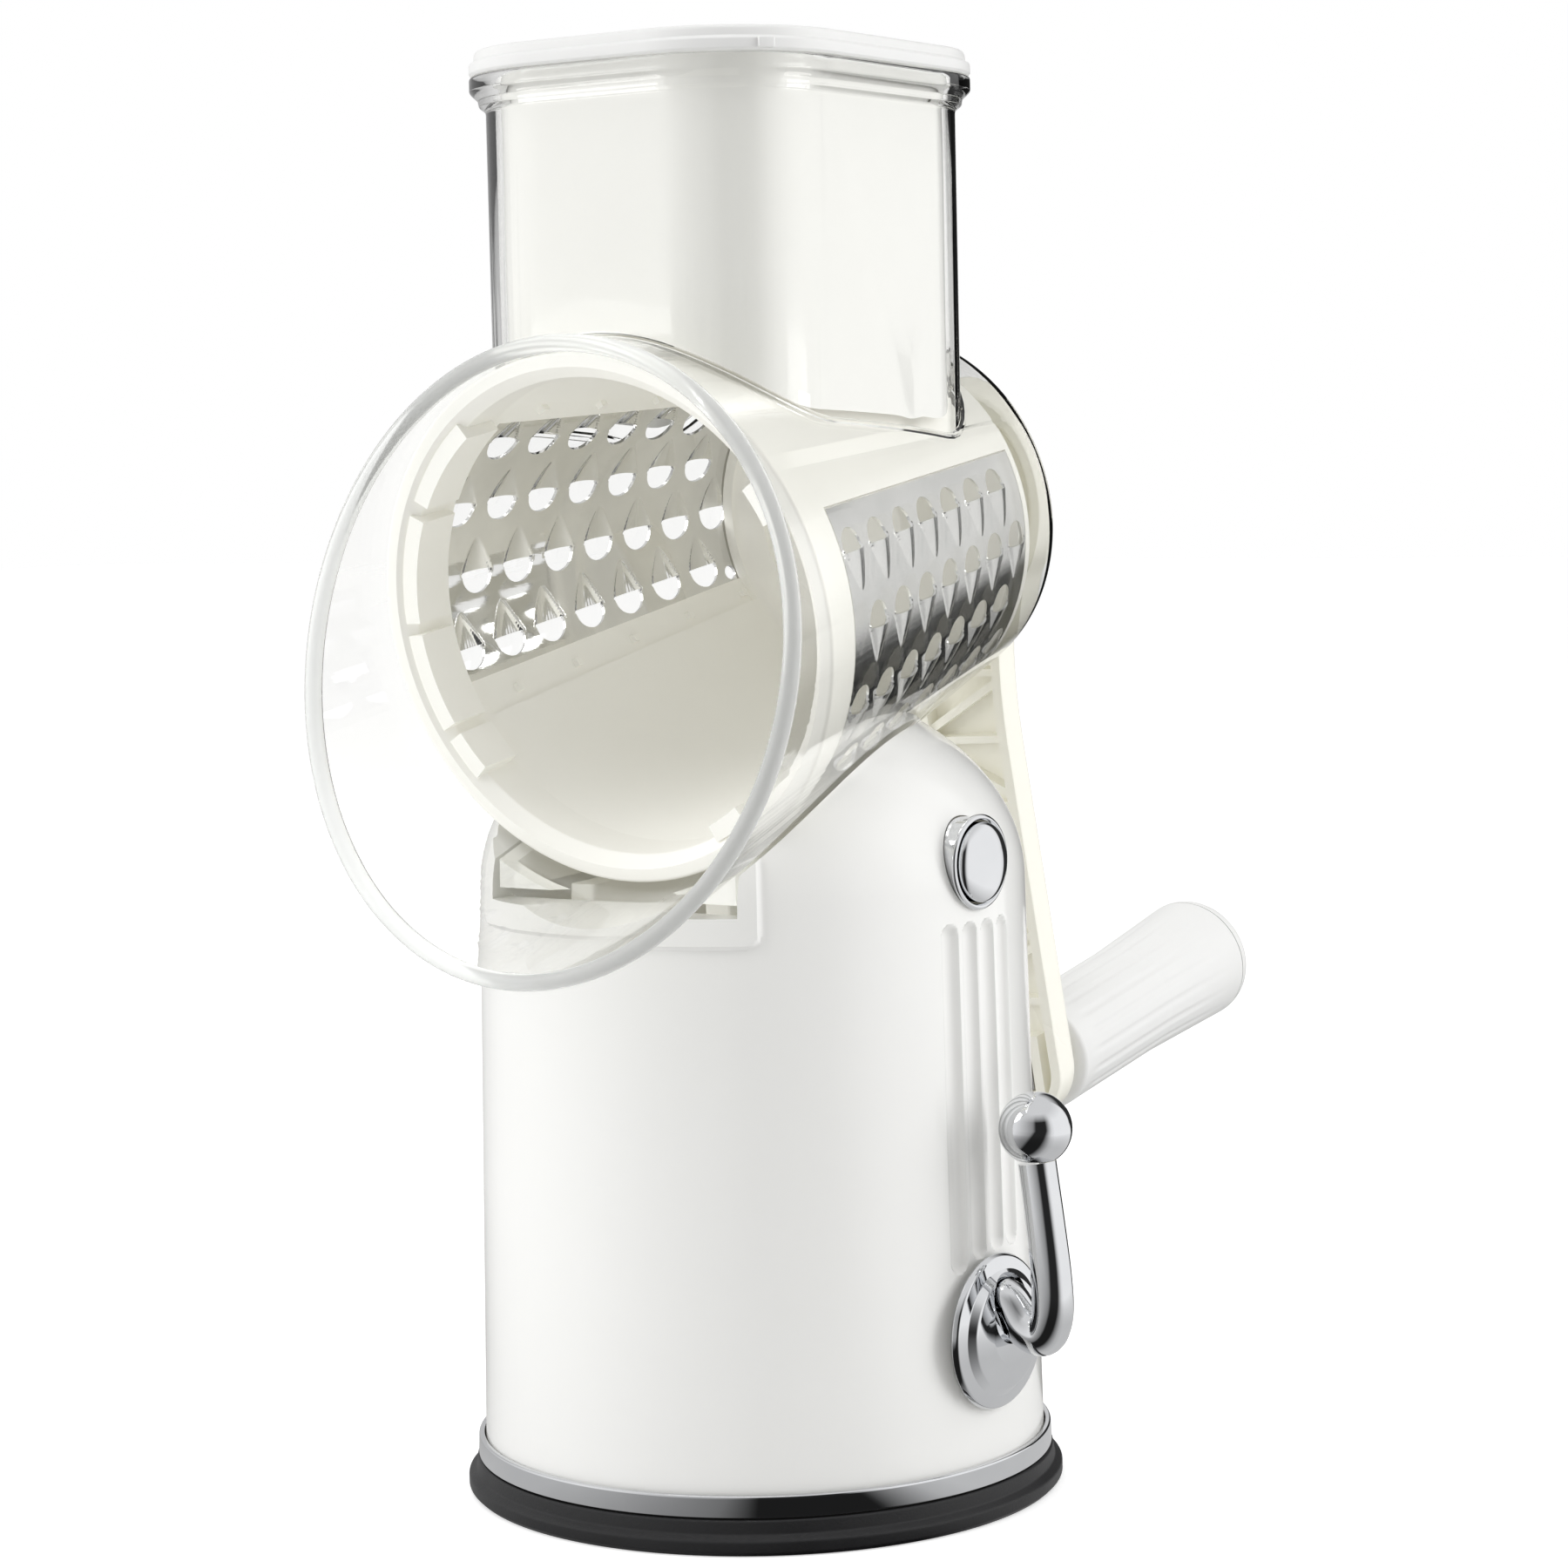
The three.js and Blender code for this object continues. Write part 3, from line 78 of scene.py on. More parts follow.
class Body(Enum):
    """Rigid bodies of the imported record."""

    STAND = "stand"
    HOUSING = "housing"
    CRANK = "crank"
    KNOB = "crank_knob"
    DRUM = "drum"
    PUSHER = "pusher"
    BUTTON = "button"
    LEVER = "lever"
    SUCTION = "suction_pull"


# ---------------------------------------------------------------- numbers and curves
def smooth(low: float, high: float, value: Array) -> Array:
    """Returns the smooth step from 0 at low to 1 at high: 3t^2 - 2t^3."""
    t = np.clip((value - low) / (high - low), 0.0, 1.0)
    return t * t * (3.0 - 2.0 * t)


def rounded(corners: Sequence[Sequence[float]], steps: int = 5, closed: bool = False) -> Array:
    """Rounds the corners of a polyline.

    Each corner is a pair, or a pair and a radius. A corner with a radius becomes the
    parabola that touches both of its sides at the tangent length of that radius.

    Args:
        corners: points as (x, y) or (x, y, radius).
        steps: how many spans each rounded corner gets.
        closed: whether the last corner joins the first.

    Returns:
        The points as an (n, 2) array.
    """
    points = [np.array(c[:2], float) for c in corners]
    radii = [float(c[2]) if len(c) > 2 else 0.0 for c in corners]
    out: list[Array] = []
    count = len(points)
    for i, (point, radius) in enumerate(zip(points, radii)):
        inside = closed or 0 < i < count - 1
        if radius <= 0.0 or not inside:
            out.append(point)
            continue
        back = points[i - 1] - point
        ahead = points[(i + 1) % count] - point
        back_length, ahead_length = np.linalg.norm(back), np.linalg.norm(ahead)
        back, ahead = back / back_length, ahead / ahead_length
        half = math.acos(float(np.clip(back @ ahead, -1.0, 1.0))) / 2.0
        reach = min(radius / math.tan(half), 0.48 * back_length, 0.48 * ahead_length)
        for t in np.linspace(0.0, 1.0, steps + 1):
            start, end = point + back * reach, point + ahead * reach
            out.append((1 - t) ** 2 * start + 2 * t * (1 - t) * point + t * t * end)
    return np.array(out)


def spaced(profile: Array, longest: float) -> Array:
    """Adds points so that no span of a polyline is longer than the given length."""
    out = [profile[0]]
    for start, end in zip(profile[:-1], profile[1:]):
        pieces = max(1, math.ceil(float(np.linalg.norm(end - start)) / longest))
        out.extend(start + (end - start) * k / pieces for k in range(1, pieces + 1))
    return np.array(out)


def spline(points: Sequence[Sequence[float]], count: int) -> Array:
    """Samples a smooth curve through points: cubic Hermite with centred tangents."""
    knots = np.array(points, float)
    tangents = np.gradient(knots, axis=0)
    t = np.linspace(0.0, len(knots) - 1.0, count)
    i = np.minimum(t.astype(int), len(knots) - 2)
    u = (t - i)[:, None]
    a, b, m, n = knots[i], knots[i + 1], tangents[i], tangents[i + 1]
    return ((2 * u**3 - 3 * u**2 + 1) * a + (u**3 - 2 * u**2 + u) * m
            + (-2 * u**3 + 3 * u**2) * b + (u**3 - u**2) * n)


def turn_about_x(angle: float) -> Matrix:
    """Returns the turn by an angle in radians about X."""
    return Matrix.Rotation(angle, 4, "X")


def moved(points: Array, matrix: Matrix) -> Array:
    """Returns points of any grid shape after a 4x4 transform."""
    m = np.array(matrix)
    return points @ m[:3, :3].T + m[:3, 3]


# ---------------------------------------------------------------- meshes
def mesh_object(name: str, vertices: Array, faces: list, tidy: bool = True) -> bpy.types.Object:
    """Makes an object from vertices and faces.

    Args:
        name: the piece's name.
        vertices: (n, 3) positions in metres.
        faces: lists of vertex numbers.
        tidy: whether doubles are merged and the closed shell's faces turned outwards.

    Returns:
        The new object, at the origin.
    """
    mesh = bpy.data.meshes.new(name)
    mesh.from_pydata(np.asarray(vertices).tolist(), [], faces)
    if tidy:
        work = bmesh.new()
        work.from_mesh(mesh)
        bmesh.ops.remove_doubles(work, verts=work.verts, dist=MERGE_DISTANCE)
        bmesh.ops.dissolve_degenerate(work, edges=work.edges, dist=SLIVER_LENGTH)
        bmesh.ops.recalc_face_normals(work, faces=work.faces)
        work.to_mesh(mesh)
        work.free()
    mesh.update()
    thing = bpy.data.objects.new(name, mesh)
    bpy.context.scene.collection.objects.link(thing)
    return thing


def grid_faces(rows: int, columns: int, wrap_rows: bool, wrap_columns: bool) -> list:
    """Returns the quads of a grid of vertices numbered row by row."""
    i = np.arange(rows if wrap_rows else rows - 1)
    j = np.arange(columns if wrap_columns else columns - 1)
    a, b = np.meshgrid(i, j, indexing="ij")
    c, d = (a + 1) % rows, (b + 1) % columns
    quads = np.stack([a * columns + b, a * columns + d, c * columns + d, c * columns + b], -1)
    return quads.reshape(-1, 4).tolist()


def surface(name: str, grid: Array, place: Matrix | None = None, wrap_rows: bool = False,
            caps: bool = False) -> bpy.types.Object:
    """Makes an object from a (rows, columns, 3) grid of points whose rows are loops.

    Args:
        name: the piece's name.
        grid: the points.
        place: where the piece goes.
        wrap_rows: whether the last row joins the first.
        caps: whether the first and last rows are closed by flat faces.

    Returns:
        The object.
    """
    if place is not None:
        grid = moved(grid, place)
    rows, columns = grid.shape[:2]
    faces = grid_faces(rows, columns, wrap_rows, True)
    if caps:
        faces.append(list(range(columns))[::-1])
        faces.append(list(range((rows - 1) * columns, rows * columns)))
    return mesh_object(name, grid.reshape(-1, 3), faces)


def turned_grid(profile: Array, columns: int = 160) -> Array:
    """Turns a profile of (radius, height) about Z: (r cos a, r sin a, h) on a grid."""
    angles = np.linspace(0.0, 2.0 * math.pi, columns, endpoint=False)
    radius, height = profile[:, 0:1], profile[:, 1:2]
    return np.stack([radius * np.cos(angles), radius * np.sin(angles),
                     height + 0.0 * angles], -1)


def turned(name: str, profile: Array, place: Matrix | None = None, ring: bool = False,
           columns: int = 160) -> bpy.types.Object:
    """Makes a turned piece about Z, then puts it in place.

    Args:
        name: the piece's name.
        profile: (radius, height) points; an open one starts and ends on the axis.
        place: where the piece goes.
        ring: whether the profile is a closed loop away from the axis.
        columns: how many spans go round.

    Returns:
        The object.
    """
    return surface(name, turned_grid(profile, columns), place, wrap_rows=ring)


def cylinder(name: str, radius: float, low: float, high: float, place: Matrix | None = None,
             columns: int = 48) -> bpy.types.Object:
    """Makes a plain solid cylinder about Z, then puts it in place."""
    profile = np.array([[0.0, low], [radius, low], [radius, high], [0.0, high]])
    return turned(name, profile, place, columns=columns)


def outline_rectangle(half_x: float, half_y: float, corner: float, centre: tuple = (0.0, 0.0),
                      steps: int = 12) -> Array:
    """Returns the (n, 2) outline of a rectangle whose corners are quarter circles."""
    quarter = np.linspace(0.0, math.pi / 2, steps + 1)
    arcs = []
    for k, (sx, sy) in enumerate(((1, 1), (-1, 1), (-1, -1), (1, -1))):
        a = quarter + k * math.pi / 2
        arcs.append(np.stack([centre[0] + sx * (half_x - corner) + corner * np.cos(a),
                              centre[1] + sy * (half_y - corner) + corner * np.sin(a)], -1))
    return np.concatenate(arcs)


def lofted(name: str, rings: Sequence[Array], place: Matrix | None = None) -> bpy.types.Object:
    """Joins closed rings of equal count into a solid with flat ends."""
    return surface(name, np.stack(rings), place, caps=True)


def slab(name: str, outline: Array, low: float, high: float,
         place: Matrix | None = None, edge: float = 0.0) -> bpy.types.Object:
    """Extrudes a closed (n, 2) outline from low to high, with eased edges of a given width.

    The eased edge scales the outline about its own centre, which is close to an inward
    offset on compact outlines.
    """
    centre = outline.mean(0)
    size = float(np.abs(outline - centre).max())
    levels = [(low, 1.0), (high, 1.0)]
    if edge > 0.0:
        a = np.linspace(0.0, math.pi / 2, 5)
        shrink = 1.0 - edge / size * (1.0 - np.sin(a))
        rise = edge * (1.0 - np.cos(a))
        levels = [(low + r, s) for r, s in zip(rise, shrink)]
        levels += [(high - r, s) for r, s in zip(rise[::-1], shrink[::-1])]
    rings = [np.column_stack([centre + (outline - centre) * s, np.full(len(outline), z)])
             for z, s in levels]
    return lofted(name, rings, place)


def block(name: str, low: Sequence[float], high: Sequence[float],
          place: Matrix | None = None) -> bpy.types.Object:
    """Makes a plain box for cutting and joining."""
    outline = np.array([[low[0], low[1]], [high[0], low[1]], [high[0], high[1]],
                        [low[0], high[1]]])
    return slab(name, outline, low[2], high[2], place)


def swept(name: str, path: Array, radius: Array | float, sides: int = 28, closed: bool = False,
          place: Matrix | None = None) -> bpy.types.Object:
    """Carries a circle along a path.

    Each ring stands square to the path. Its first axis is the last ring's, projected
    square to the new direction, so the section doesn't twist.

    Args:
        name: the piece's name.
        path: (n, 3) points.
        radius: the radius at each point, or one radius.
        sides: how many points each ring has.
        closed: whether the path is a loop.
        place: where the piece goes.

    Returns:
        The object.
    """
    if closed:
        ahead = np.roll(path, -1, 0) - np.roll(path, 1, 0)
    else:
        ahead = np.gradient(path, axis=0)
    ahead /= np.linalg.norm(ahead, axis=1)[:, None]
    axis = np.cross(ahead[0], SIDEWAYS)
    firsts = []
    for direction in ahead:
        axis = axis - direction * float(axis @ direction)
        axis = axis / np.linalg.norm(axis)
        firsts.append(axis)
    first = np.array(firsts)
    second = np.cross(ahead, first)
    a = np.linspace(0.0, 2.0 * math.pi, sides, endpoint=False)
    ring = (np.cos(a)[None, :, None] * first[:, None, :]
            + np.sin(a)[None, :, None] * second[:, None, :])
    radii = np.broadcast_to(radius, len(path))
    grid = path[:, None, :] + radii[:, None, None] * ring
    return surface(name, grid, place, wrap_rows=closed, caps=not closed)


class Cut(Enum):
    """How two solids are put together."""

    JOIN = "UNION"
    REMOVE = "DIFFERENCE"
    KEEP = "INTERSECT"


def combined(base: bpy.types.Object, how: Cut, *tools: bpy.types.Object) -> bpy.types.Object:
    """Joins tools to a closed solid, or cuts them from it, and removes the tools."""
    for tool in tools:
        step = base.modifiers.new(how.value, "BOOLEAN")
        step.object, step.operation, step.solver = tool, how.value, "MANIFOLD"
    graph = bpy.context.evaluated_depsgraph_get()
    graph.update()
    mesh = bpy.data.meshes.new_from_object(base.evaluated_get(graph), depsgraph=graph)
    base.modifiers.clear()
    base.data = mesh
    mesh.name = base.name
    for tool in tools:
        bpy.data.objects.remove(tool)
    return base


def shaded(thing: bpy.types.Object, degrees: float = 32.0) -> None:
    """Shades smooth, with the edges sharper than the angle kept sharp."""
    thing.data.shade_smooth()
    thing.data.set_sharp_from_angle(angle=math.radians(degrees))


def refined(node: str, name: str, bevel: float = 0.0, degrees: float = 32.0) -> bpy.types.Object:
    """Copies a CAD node, merges its loose triangles, and eases its edges with a bevel."""
    source = frame["nodes"][node].data
    count = len(source.vertices)
    points = np.empty(count * 3)
    source.vertices.foreach_get("co", points)
    faces = [list(p.vertices) for p in source.polygons]
    thing = mesh_object(name, points.reshape(-1, 3), faces)
    if bevel > 0.0:
        ease = thing.modifiers.new("eased edges", "BEVEL")
        ease.width, ease.segments, ease.limit_method = bevel, 2, "ANGLE"
        ease.angle_limit = math.radians(degrees)
        ease.harden_normals = True
        ease.use_clamp_overlap = True
    return thing


# ---------------------------------------------------------------- finishes
def added(tree: bpy.types.NodeTree, kind: str, **values: object) -> bpy.types.Node:
    """Adds a node and sets its properties, or its sockets by name with spaces as underscores."""
    node = tree.nodes.new(kind)
    for key, value in values.items():
        if hasattr(node, key):
            setattr(node, key, value)
        else:
            node.inputs[key.replace("_", " ")].default_value = value
    return node


def colour_mix(tree: bpy.types.NodeTree, first: tuple, second: tuple) -> tuple:
    """Adds a node that mixes two colours.

    Returns:
        Its sockets: factor, first colour, second colour, result.
    """
    mix = added(tree, "ShaderNodeMix", data_type="RGBA")
    ends = [s for s in mix.inputs if s.type == "RGBA"]
    for socket, colour in zip(ends, (first, second)):
        socket.default_value = (*colour, 1.0)
    return mix.inputs["Factor"], *ends, next(s for s in mix.outputs if s.type == "RGBA")


def cleared(owner: bpy.types.ID) -> bpy.types.NodeTree:
    """Switches a material or world to nodes and returns its tree, emptied."""
    owner.use_nodes = True
    owner.node_tree.nodes.clear()
    return owner.node_tree


def mixed_surface(tree: bpy.types.NodeTree, out: bpy.types.Node, factor: bpy.types.NodeSocket,
                  first: bpy.types.Node, second: bpy.types.Node) -> None:
    """Sends a mix of two shaders to the output: the first one where the factor is 0."""
    mix = added(tree, "ShaderNodeMixShader")
    for start, end in ((factor, mix.inputs["Fac"]), (first.outputs[0], mix.inputs[1]),
                       (second.outputs[0], mix.inputs[2]),
                       (mix.outputs[0], out.inputs["Surface"])):
        tree.links.new(start, end)


def new_group(name: str, inputs: Sequence[tuple], outputs: Sequence[tuple]) -> tuple:
    """Makes an empty shader group.

    Args:
        name: the group's name.
        inputs: (name, socket type, default) of each input.
        outputs: (name, socket type) of each output.

    Returns:
        The tree, its input node and its output node.
    """
    tree = bpy.data.node_groups.new(name, "ShaderNodeTree")
    for label, kind, default in inputs:
        socket = tree.interface.new_socket(label, in_out="INPUT", socket_type=kind)
        if default is not None:
            socket.default_value = default
    for label, kind in outputs:
        tree.interface.new_socket(label, in_out="OUTPUT", socket_type=kind)
    return tree, tree.nodes.new("NodeGroupInput"), tree.nodes.new("NodeGroupOutput")


def surface_variation() -> bpy.types.NodeTree:
    """Builds the group that gives every finish its unevenness.

    The mask is broad noise for colour and gloss. The height is fine noise stretched along
    one axis, which reads as moulding texture when even and as hairlines when long.
    """
    tree, source, sink = new_group(
        "surface variation",
        [("Vector", "NodeSocketVector", None), ("Broad Scale", "NodeSocketFloat", 18.0),
         ("Fine Scale", "NodeSocketFloat", 900.0),
         ("Stretch", "NodeSocketVector", (1.0, 1.0, 1.0))],
        [("Mask", "NodeSocketFloat"), ("Height", "NodeSocketFloat")])
    link = tree.links.new
    broad = added(tree, "ShaderNodeTexNoise", Detail=3.0, Roughness=0.55)
    link(source.outputs["Vector"], broad.inputs["Vector"])
    link(source.outputs["Broad Scale"], broad.inputs["Scale"])
    spread = added(tree, "ShaderNodeMapRange", From_Min=0.3, From_Max=0.7)
    link(broad.outputs["Fac"], spread.inputs["Value"])
    stretched = added(tree, "ShaderNodeVectorMath", operation="MULTIPLY")
    link(source.outputs["Vector"], stretched.inputs[0])
    link(source.outputs["Stretch"], stretched.inputs[1])
    fine = added(tree, "ShaderNodeTexNoise", Detail=2.0, Roughness=0.6)
    link(stretched.outputs[0], fine.inputs["Vector"])
    link(source.outputs["Fine Scale"], fine.inputs["Scale"])
    link(spread.outputs["Result"], sink.inputs["Mask"])
    link(fine.outputs["Fac"], sink.inputs["Height"])
    return tree


@dataclass(frozen=True)
class Finish:
    """One finish: its colours, gloss and relief. Colours are linear.

    The glow is painted light: an emission that stands in for the light that thin pale plastic lets through.
    """

    label: str
    slot: Slot
    dark: tuple
    light: tuple
    roughness: tuple
    metallic: float = 0.0
    transmission: float = 0.0
    ior: float = 1.5
    coat: float = 0.0
    relief: float = 0.02
    broad_scale: float = 18.0
    fine_scale: float = 900.0
    stretch: tuple = (1.0, 1.0, 1.0)
    # The glow and its colour are painted light, an emission on parts that are no lamps.
    glow: float = 0.0
    glow_colour: tuple = (1.0, 0.95, 0.80)
    coat_roughness: float = 0.04
    relief_height: float = 0.2 * MM

    def material(self, variation: bpy.types.NodeTree) -> bpy.types.Material:
        """Builds the material, with the shared variation group driving it.

        A clear finish lets lamp light and diffuse light straight through, so that what it
        covers is lit as brightly as behind thin plastic.
        """
        material = bpy.data.materials.new(self.label)
        tree = cleared(material)
        link = tree.links.new
        out = added(tree, "ShaderNodeOutputMaterial")
        # Emission strength and colour carry the painted glow.
        shader = added(tree, "ShaderNodeBsdfPrincipled", Metallic=self.metallic, IOR=self.ior,
                       Transmission_Weight=self.transmission, Coat_Weight=self.coat,
                       Coat_Roughness=self.coat_roughness, Emission_Strength=self.glow,
                       Emission_Color=(*self.glow_colour, 1.0))
        where = added(tree, "ShaderNodeTexCoord")
        group = added(tree, "ShaderNodeGroup", node_tree=variation,
                      Broad_Scale=self.broad_scale, Fine_Scale=self.fine_scale,
                      Stretch=self.stretch)
        link(where.outputs["Object"], group.inputs["Vector"])
        factor, _, _, colour = colour_mix(tree, self.dark, self.light)
        link(group.outputs["Mask"], factor)
        link(colour, shader.inputs["Base Color"])
        gloss = added(tree, "ShaderNodeMapRange", To_Min=self.roughness[0],
                      To_Max=self.roughness[1])
        link(group.outputs["Mask"], gloss.inputs["Value"])
        link(gloss.outputs["Result"], shader.inputs["Roughness"])
        if self.relief > 0.0:
            bump = added(tree, "ShaderNodeBump", Strength=self.relief,
                         Distance=self.relief_height)
            link(group.outputs["Height"], bump.inputs["Height"])
            link(bump.outputs["Normal"], shader.inputs["Normal"])
        if self.transmission == 0.0:
            link(shader.outputs["BSDF"], out.inputs["Surface"])
            return material
        rays = added(tree, "ShaderNodeLightPath")
        either = added(tree, "ShaderNodeMath", operation="MAXIMUM")
        clear = added(tree, "ShaderNodeBsdfTransparent", Color=(*self.light, 1.0))
        link(rays.outputs["Is Shadow Ray"], either.inputs[0])
        link(rays.outputs["Is Diffuse Ray"], either.inputs[1])
        mixed_surface(tree, out, either.outputs[0], shader, clear)
        return material


FINISHES = (
    # Its glow is painted light: a faint emission on the white plastic.
    Finish("glossy white plastic", Slot.WHITE, (0.835, 0.835, 0.82), (0.855, 0.855, 0.84),
           (0.16, 0.22), coat=0.35, relief=0.03, broad_scale=9.0, fine_scale=700.0,
           glow=0.03),
    # A darker copy of the white plastic: its colour carries painted shade, so the knob and the lid render greyer
    # than the stand. Its rougher gloss is the finish's own.
    Finish("satin white with painted shade", Slot.WHITE, (0.775, 0.775, 0.765), (0.80, 0.80, 0.79),
           (0.34, 0.42), relief=0.03, broad_scale=9.0, fine_scale=700.0),
    # Warm-tinted white for the crank arm: its warm glow is painted light that stands in for the light thin plastic
    # lets through. Its yellower colour is partly the plastic's own tone and partly painted warm shade for the
    # arm's channel.
    Finish("white plastic with painted warm glow", Slot.WHITE, (0.84, 0.83, 0.76), (0.86, 0.85, 0.785),
           (0.22, 0.30), coat=0.15, relief=0.03, broad_scale=9.0, fine_scale=700.0,
           glow=0.07, glow_colour=(1.0, 0.94, 0.70)),
    # Its warm glow is painted light: an emission that lifts the drum's shaded inside, standing in for the light
    # that thin cream plastic lets through.
    Finish("satin cream plastic", Slot.CREAM, (0.905, 0.90, 0.86), (0.925, 0.92, 0.88),
           (0.30, 0.40), relief=0.06, broad_scale=12.0, fine_scale=1100.0, glow=0.09,
           glow_colour=(1.0, 0.96, 0.82)),
    Finish("clear moulded plastic", Slot.CLEAR, (0.975, 0.975, 0.965), (0.985, 0.985, 0.975),
           (0.0, 0.02), transmission=1.0, ior=1.49, relief=0.0, broad_scale=30.0),
    # The bead is clear plastic: its grey colour and its glow are painted light and shade, standing in for what its
    # rounded clear edge bends in.
    Finish("clear plastic bead", Slot.CLEAR, (0.85, 0.86, 0.855), (0.90, 0.91, 0.905),
           (0.12, 0.20), transmission=0.65, ior=1.49, relief=0.0, broad_scale=30.0, glow=0.04),
    # Its glow is painted light: an emission that brightens the foot's front wall.
    Finish("cloudy clear plastic", Slot.CLEAR, (0.88, 0.885, 0.87), (0.92, 0.925, 0.91),
           (0.20, 0.28), transmission=0.3, ior=1.49, relief=0.0, broad_scale=30.0, glow=0.09),
    Finish("black rubber", Slot.RUBBER, (0.010, 0.010, 0.011), (0.017, 0.017, 0.018),
           (0.42, 0.58), relief=0.25, broad_scale=40.0, fine_scale=2200.0),
    Finish("polished chrome", Slot.CHROME, (0.78, 0.79, 0.81), (0.84, 0.85, 0.865),
           (0.03, 0.06), metallic=1.0, relief=0.0, broad_scale=60.0),
    Finish("stamped stainless steel", Slot.GRATING, (0.80, 0.80, 0.79), (0.89, 0.89, 0.88),
           (0.03, 0.055), metallic=1.0, relief=0.012, broad_scale=70.0, fine_scale=260.0,
           stretch=(8.0, 0.6, 8.0)),
    Finish("turned steel", Slot.STEEL, (0.52, 0.52, 0.53), (0.62, 0.62, 0.63),
           (0.22, 0.34), metallic=1.0, relief=0.12, broad_scale=90.0, fine_scale=500.0,
           stretch=(1.0, 9.0, 9.0)),
)


class Workshop:
    """Finishes pieces: material, body, slot and the CAD nodes that they stand for."""

    def __init__(self) -> None:
        """Builds every material once."""
        variation = surface_variation()
        self.materials = {f.label: f.material(variation) for f in FINISHES}
        self.usual = {f.slot: f.label for f in reversed(FINISHES)}
        self.replaced: set[str] = set()

    def fit(self, thing: bpy.types.Object, body: Body, slot: Slot, *nodes: str,
            degrees: float = 32.0, finish: str = "") -> bpy.types.Object:
        """Finishes one piece.

        Args:
            thing: the piece, in place.
            body: the body it moves with.
            slot: the material slot it takes its finish from.
            nodes: the CAD nodes it stands for.
            degrees: edges sharper than this stay sharp.
            finish: a finish by its label, where it isn't the slot's usual one.

        Returns:
            The piece.
        """
        shaded(thing, degrees)
        thing.data.materials.clear()
        thing.data.materials.append(self.materials[finish or self.usual[slot]])
        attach(thing, body.value)
        if nodes:
            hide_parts(*nodes)
            self.replaced.update(nodes)
        LOG.info("%s: %d vertices on %s", thing.name, len(thing.data.vertices), body.value)
        return thing

    def dress_the_rest(self) -> None:
        """Gives every CAD node that still shows its procedural material."""
        for part in frame["record"]["subparts"]:
            if part["node"] in self.replaced:
                continue
            node = frame["nodes"][part["node"]]
            if not node.material_slots:
                node.data.materials.append(None)
            for place in node.material_slots:
                place.material = self.materials[self.usual[Slot(part["material_slot"])]]


# ---------------------------------------------------------------- shared places
def joint(name: str) -> dict:
    """Returns a joint of the record by name."""
    return next(j for j in frame["joints"] if j["name"] == name)


CRANK_JOINT = joint("crank_turn")
AXIS_HEIGHT = CRANK_JOINT["pos_m"][2]
AXIS_TILT = math.asin(CRANK_JOINT["axis"][2])
STAND_UP = turn_about_x(-math.pi / 2)      # turns a piece's own Z into +Y
DRUM_PLACE = Matrix.Translation((0, 0, AXIS_HEIGHT)) @ turn_about_x(AXIS_TILT) @ STAND_UP
CRANK_REST = math.radians(2.5)
CRANK_PLACE = (Matrix.Translation((0, 0, AXIS_HEIGHT)) @ turn_about_x(AXIS_TILT)
               @ Matrix.Rotation(-CRANK_REST, 4, "Y") @ STAND_UP)
LEVER_JOINT = joint("lever_turn")
CONTROLS_TURN = math.atan2(LEVER_JOINT["axis"][1], LEVER_JOINT["axis"][0])
CONTROLS = Matrix.Rotation(CONTROLS_TURN, 4, "Z")
TO_SIDE = Matrix.Rotation(math.pi / 2, 4, "Y")      # turns a piece's own Z into +X


def on_side(height: float) -> Matrix:
    """Returns the place of a piece whose own Z points out of the stand's control side."""
    return CONTROLS @ Matrix.Translation((0, 0, height)) @ TO_SIDE


@dataclass
class Barrel:
    """The cone shared by the clear barrel, the stand's saddle and the drum."""

    mid_radius: float = 46.4 * MM
    slope: float = 0.15
    wall: float = 2.0 * MM
    rear: float = 58.7 * MM
    front: float = -96.0 * MM

    def radius(self, station: float | Array) -> float | Array:
        """Outside radius at a station along the axis."""
        return self.mid_radius - self.slope * station

    def cone(self, name: str, offset: float, start: float, end: float,
             columns: int = 192) -> bpy.types.Object:
        """Makes the solid cone between two stations, offset outwards."""
        profile = np.array([[0.0, start], [self.radius(start) + offset, start],
                            [self.radius(end) + offset, end], [0.0, end]])
        return turned(name, profile, DRUM_PLACE, columns=columns)


BARREL = Barrel()


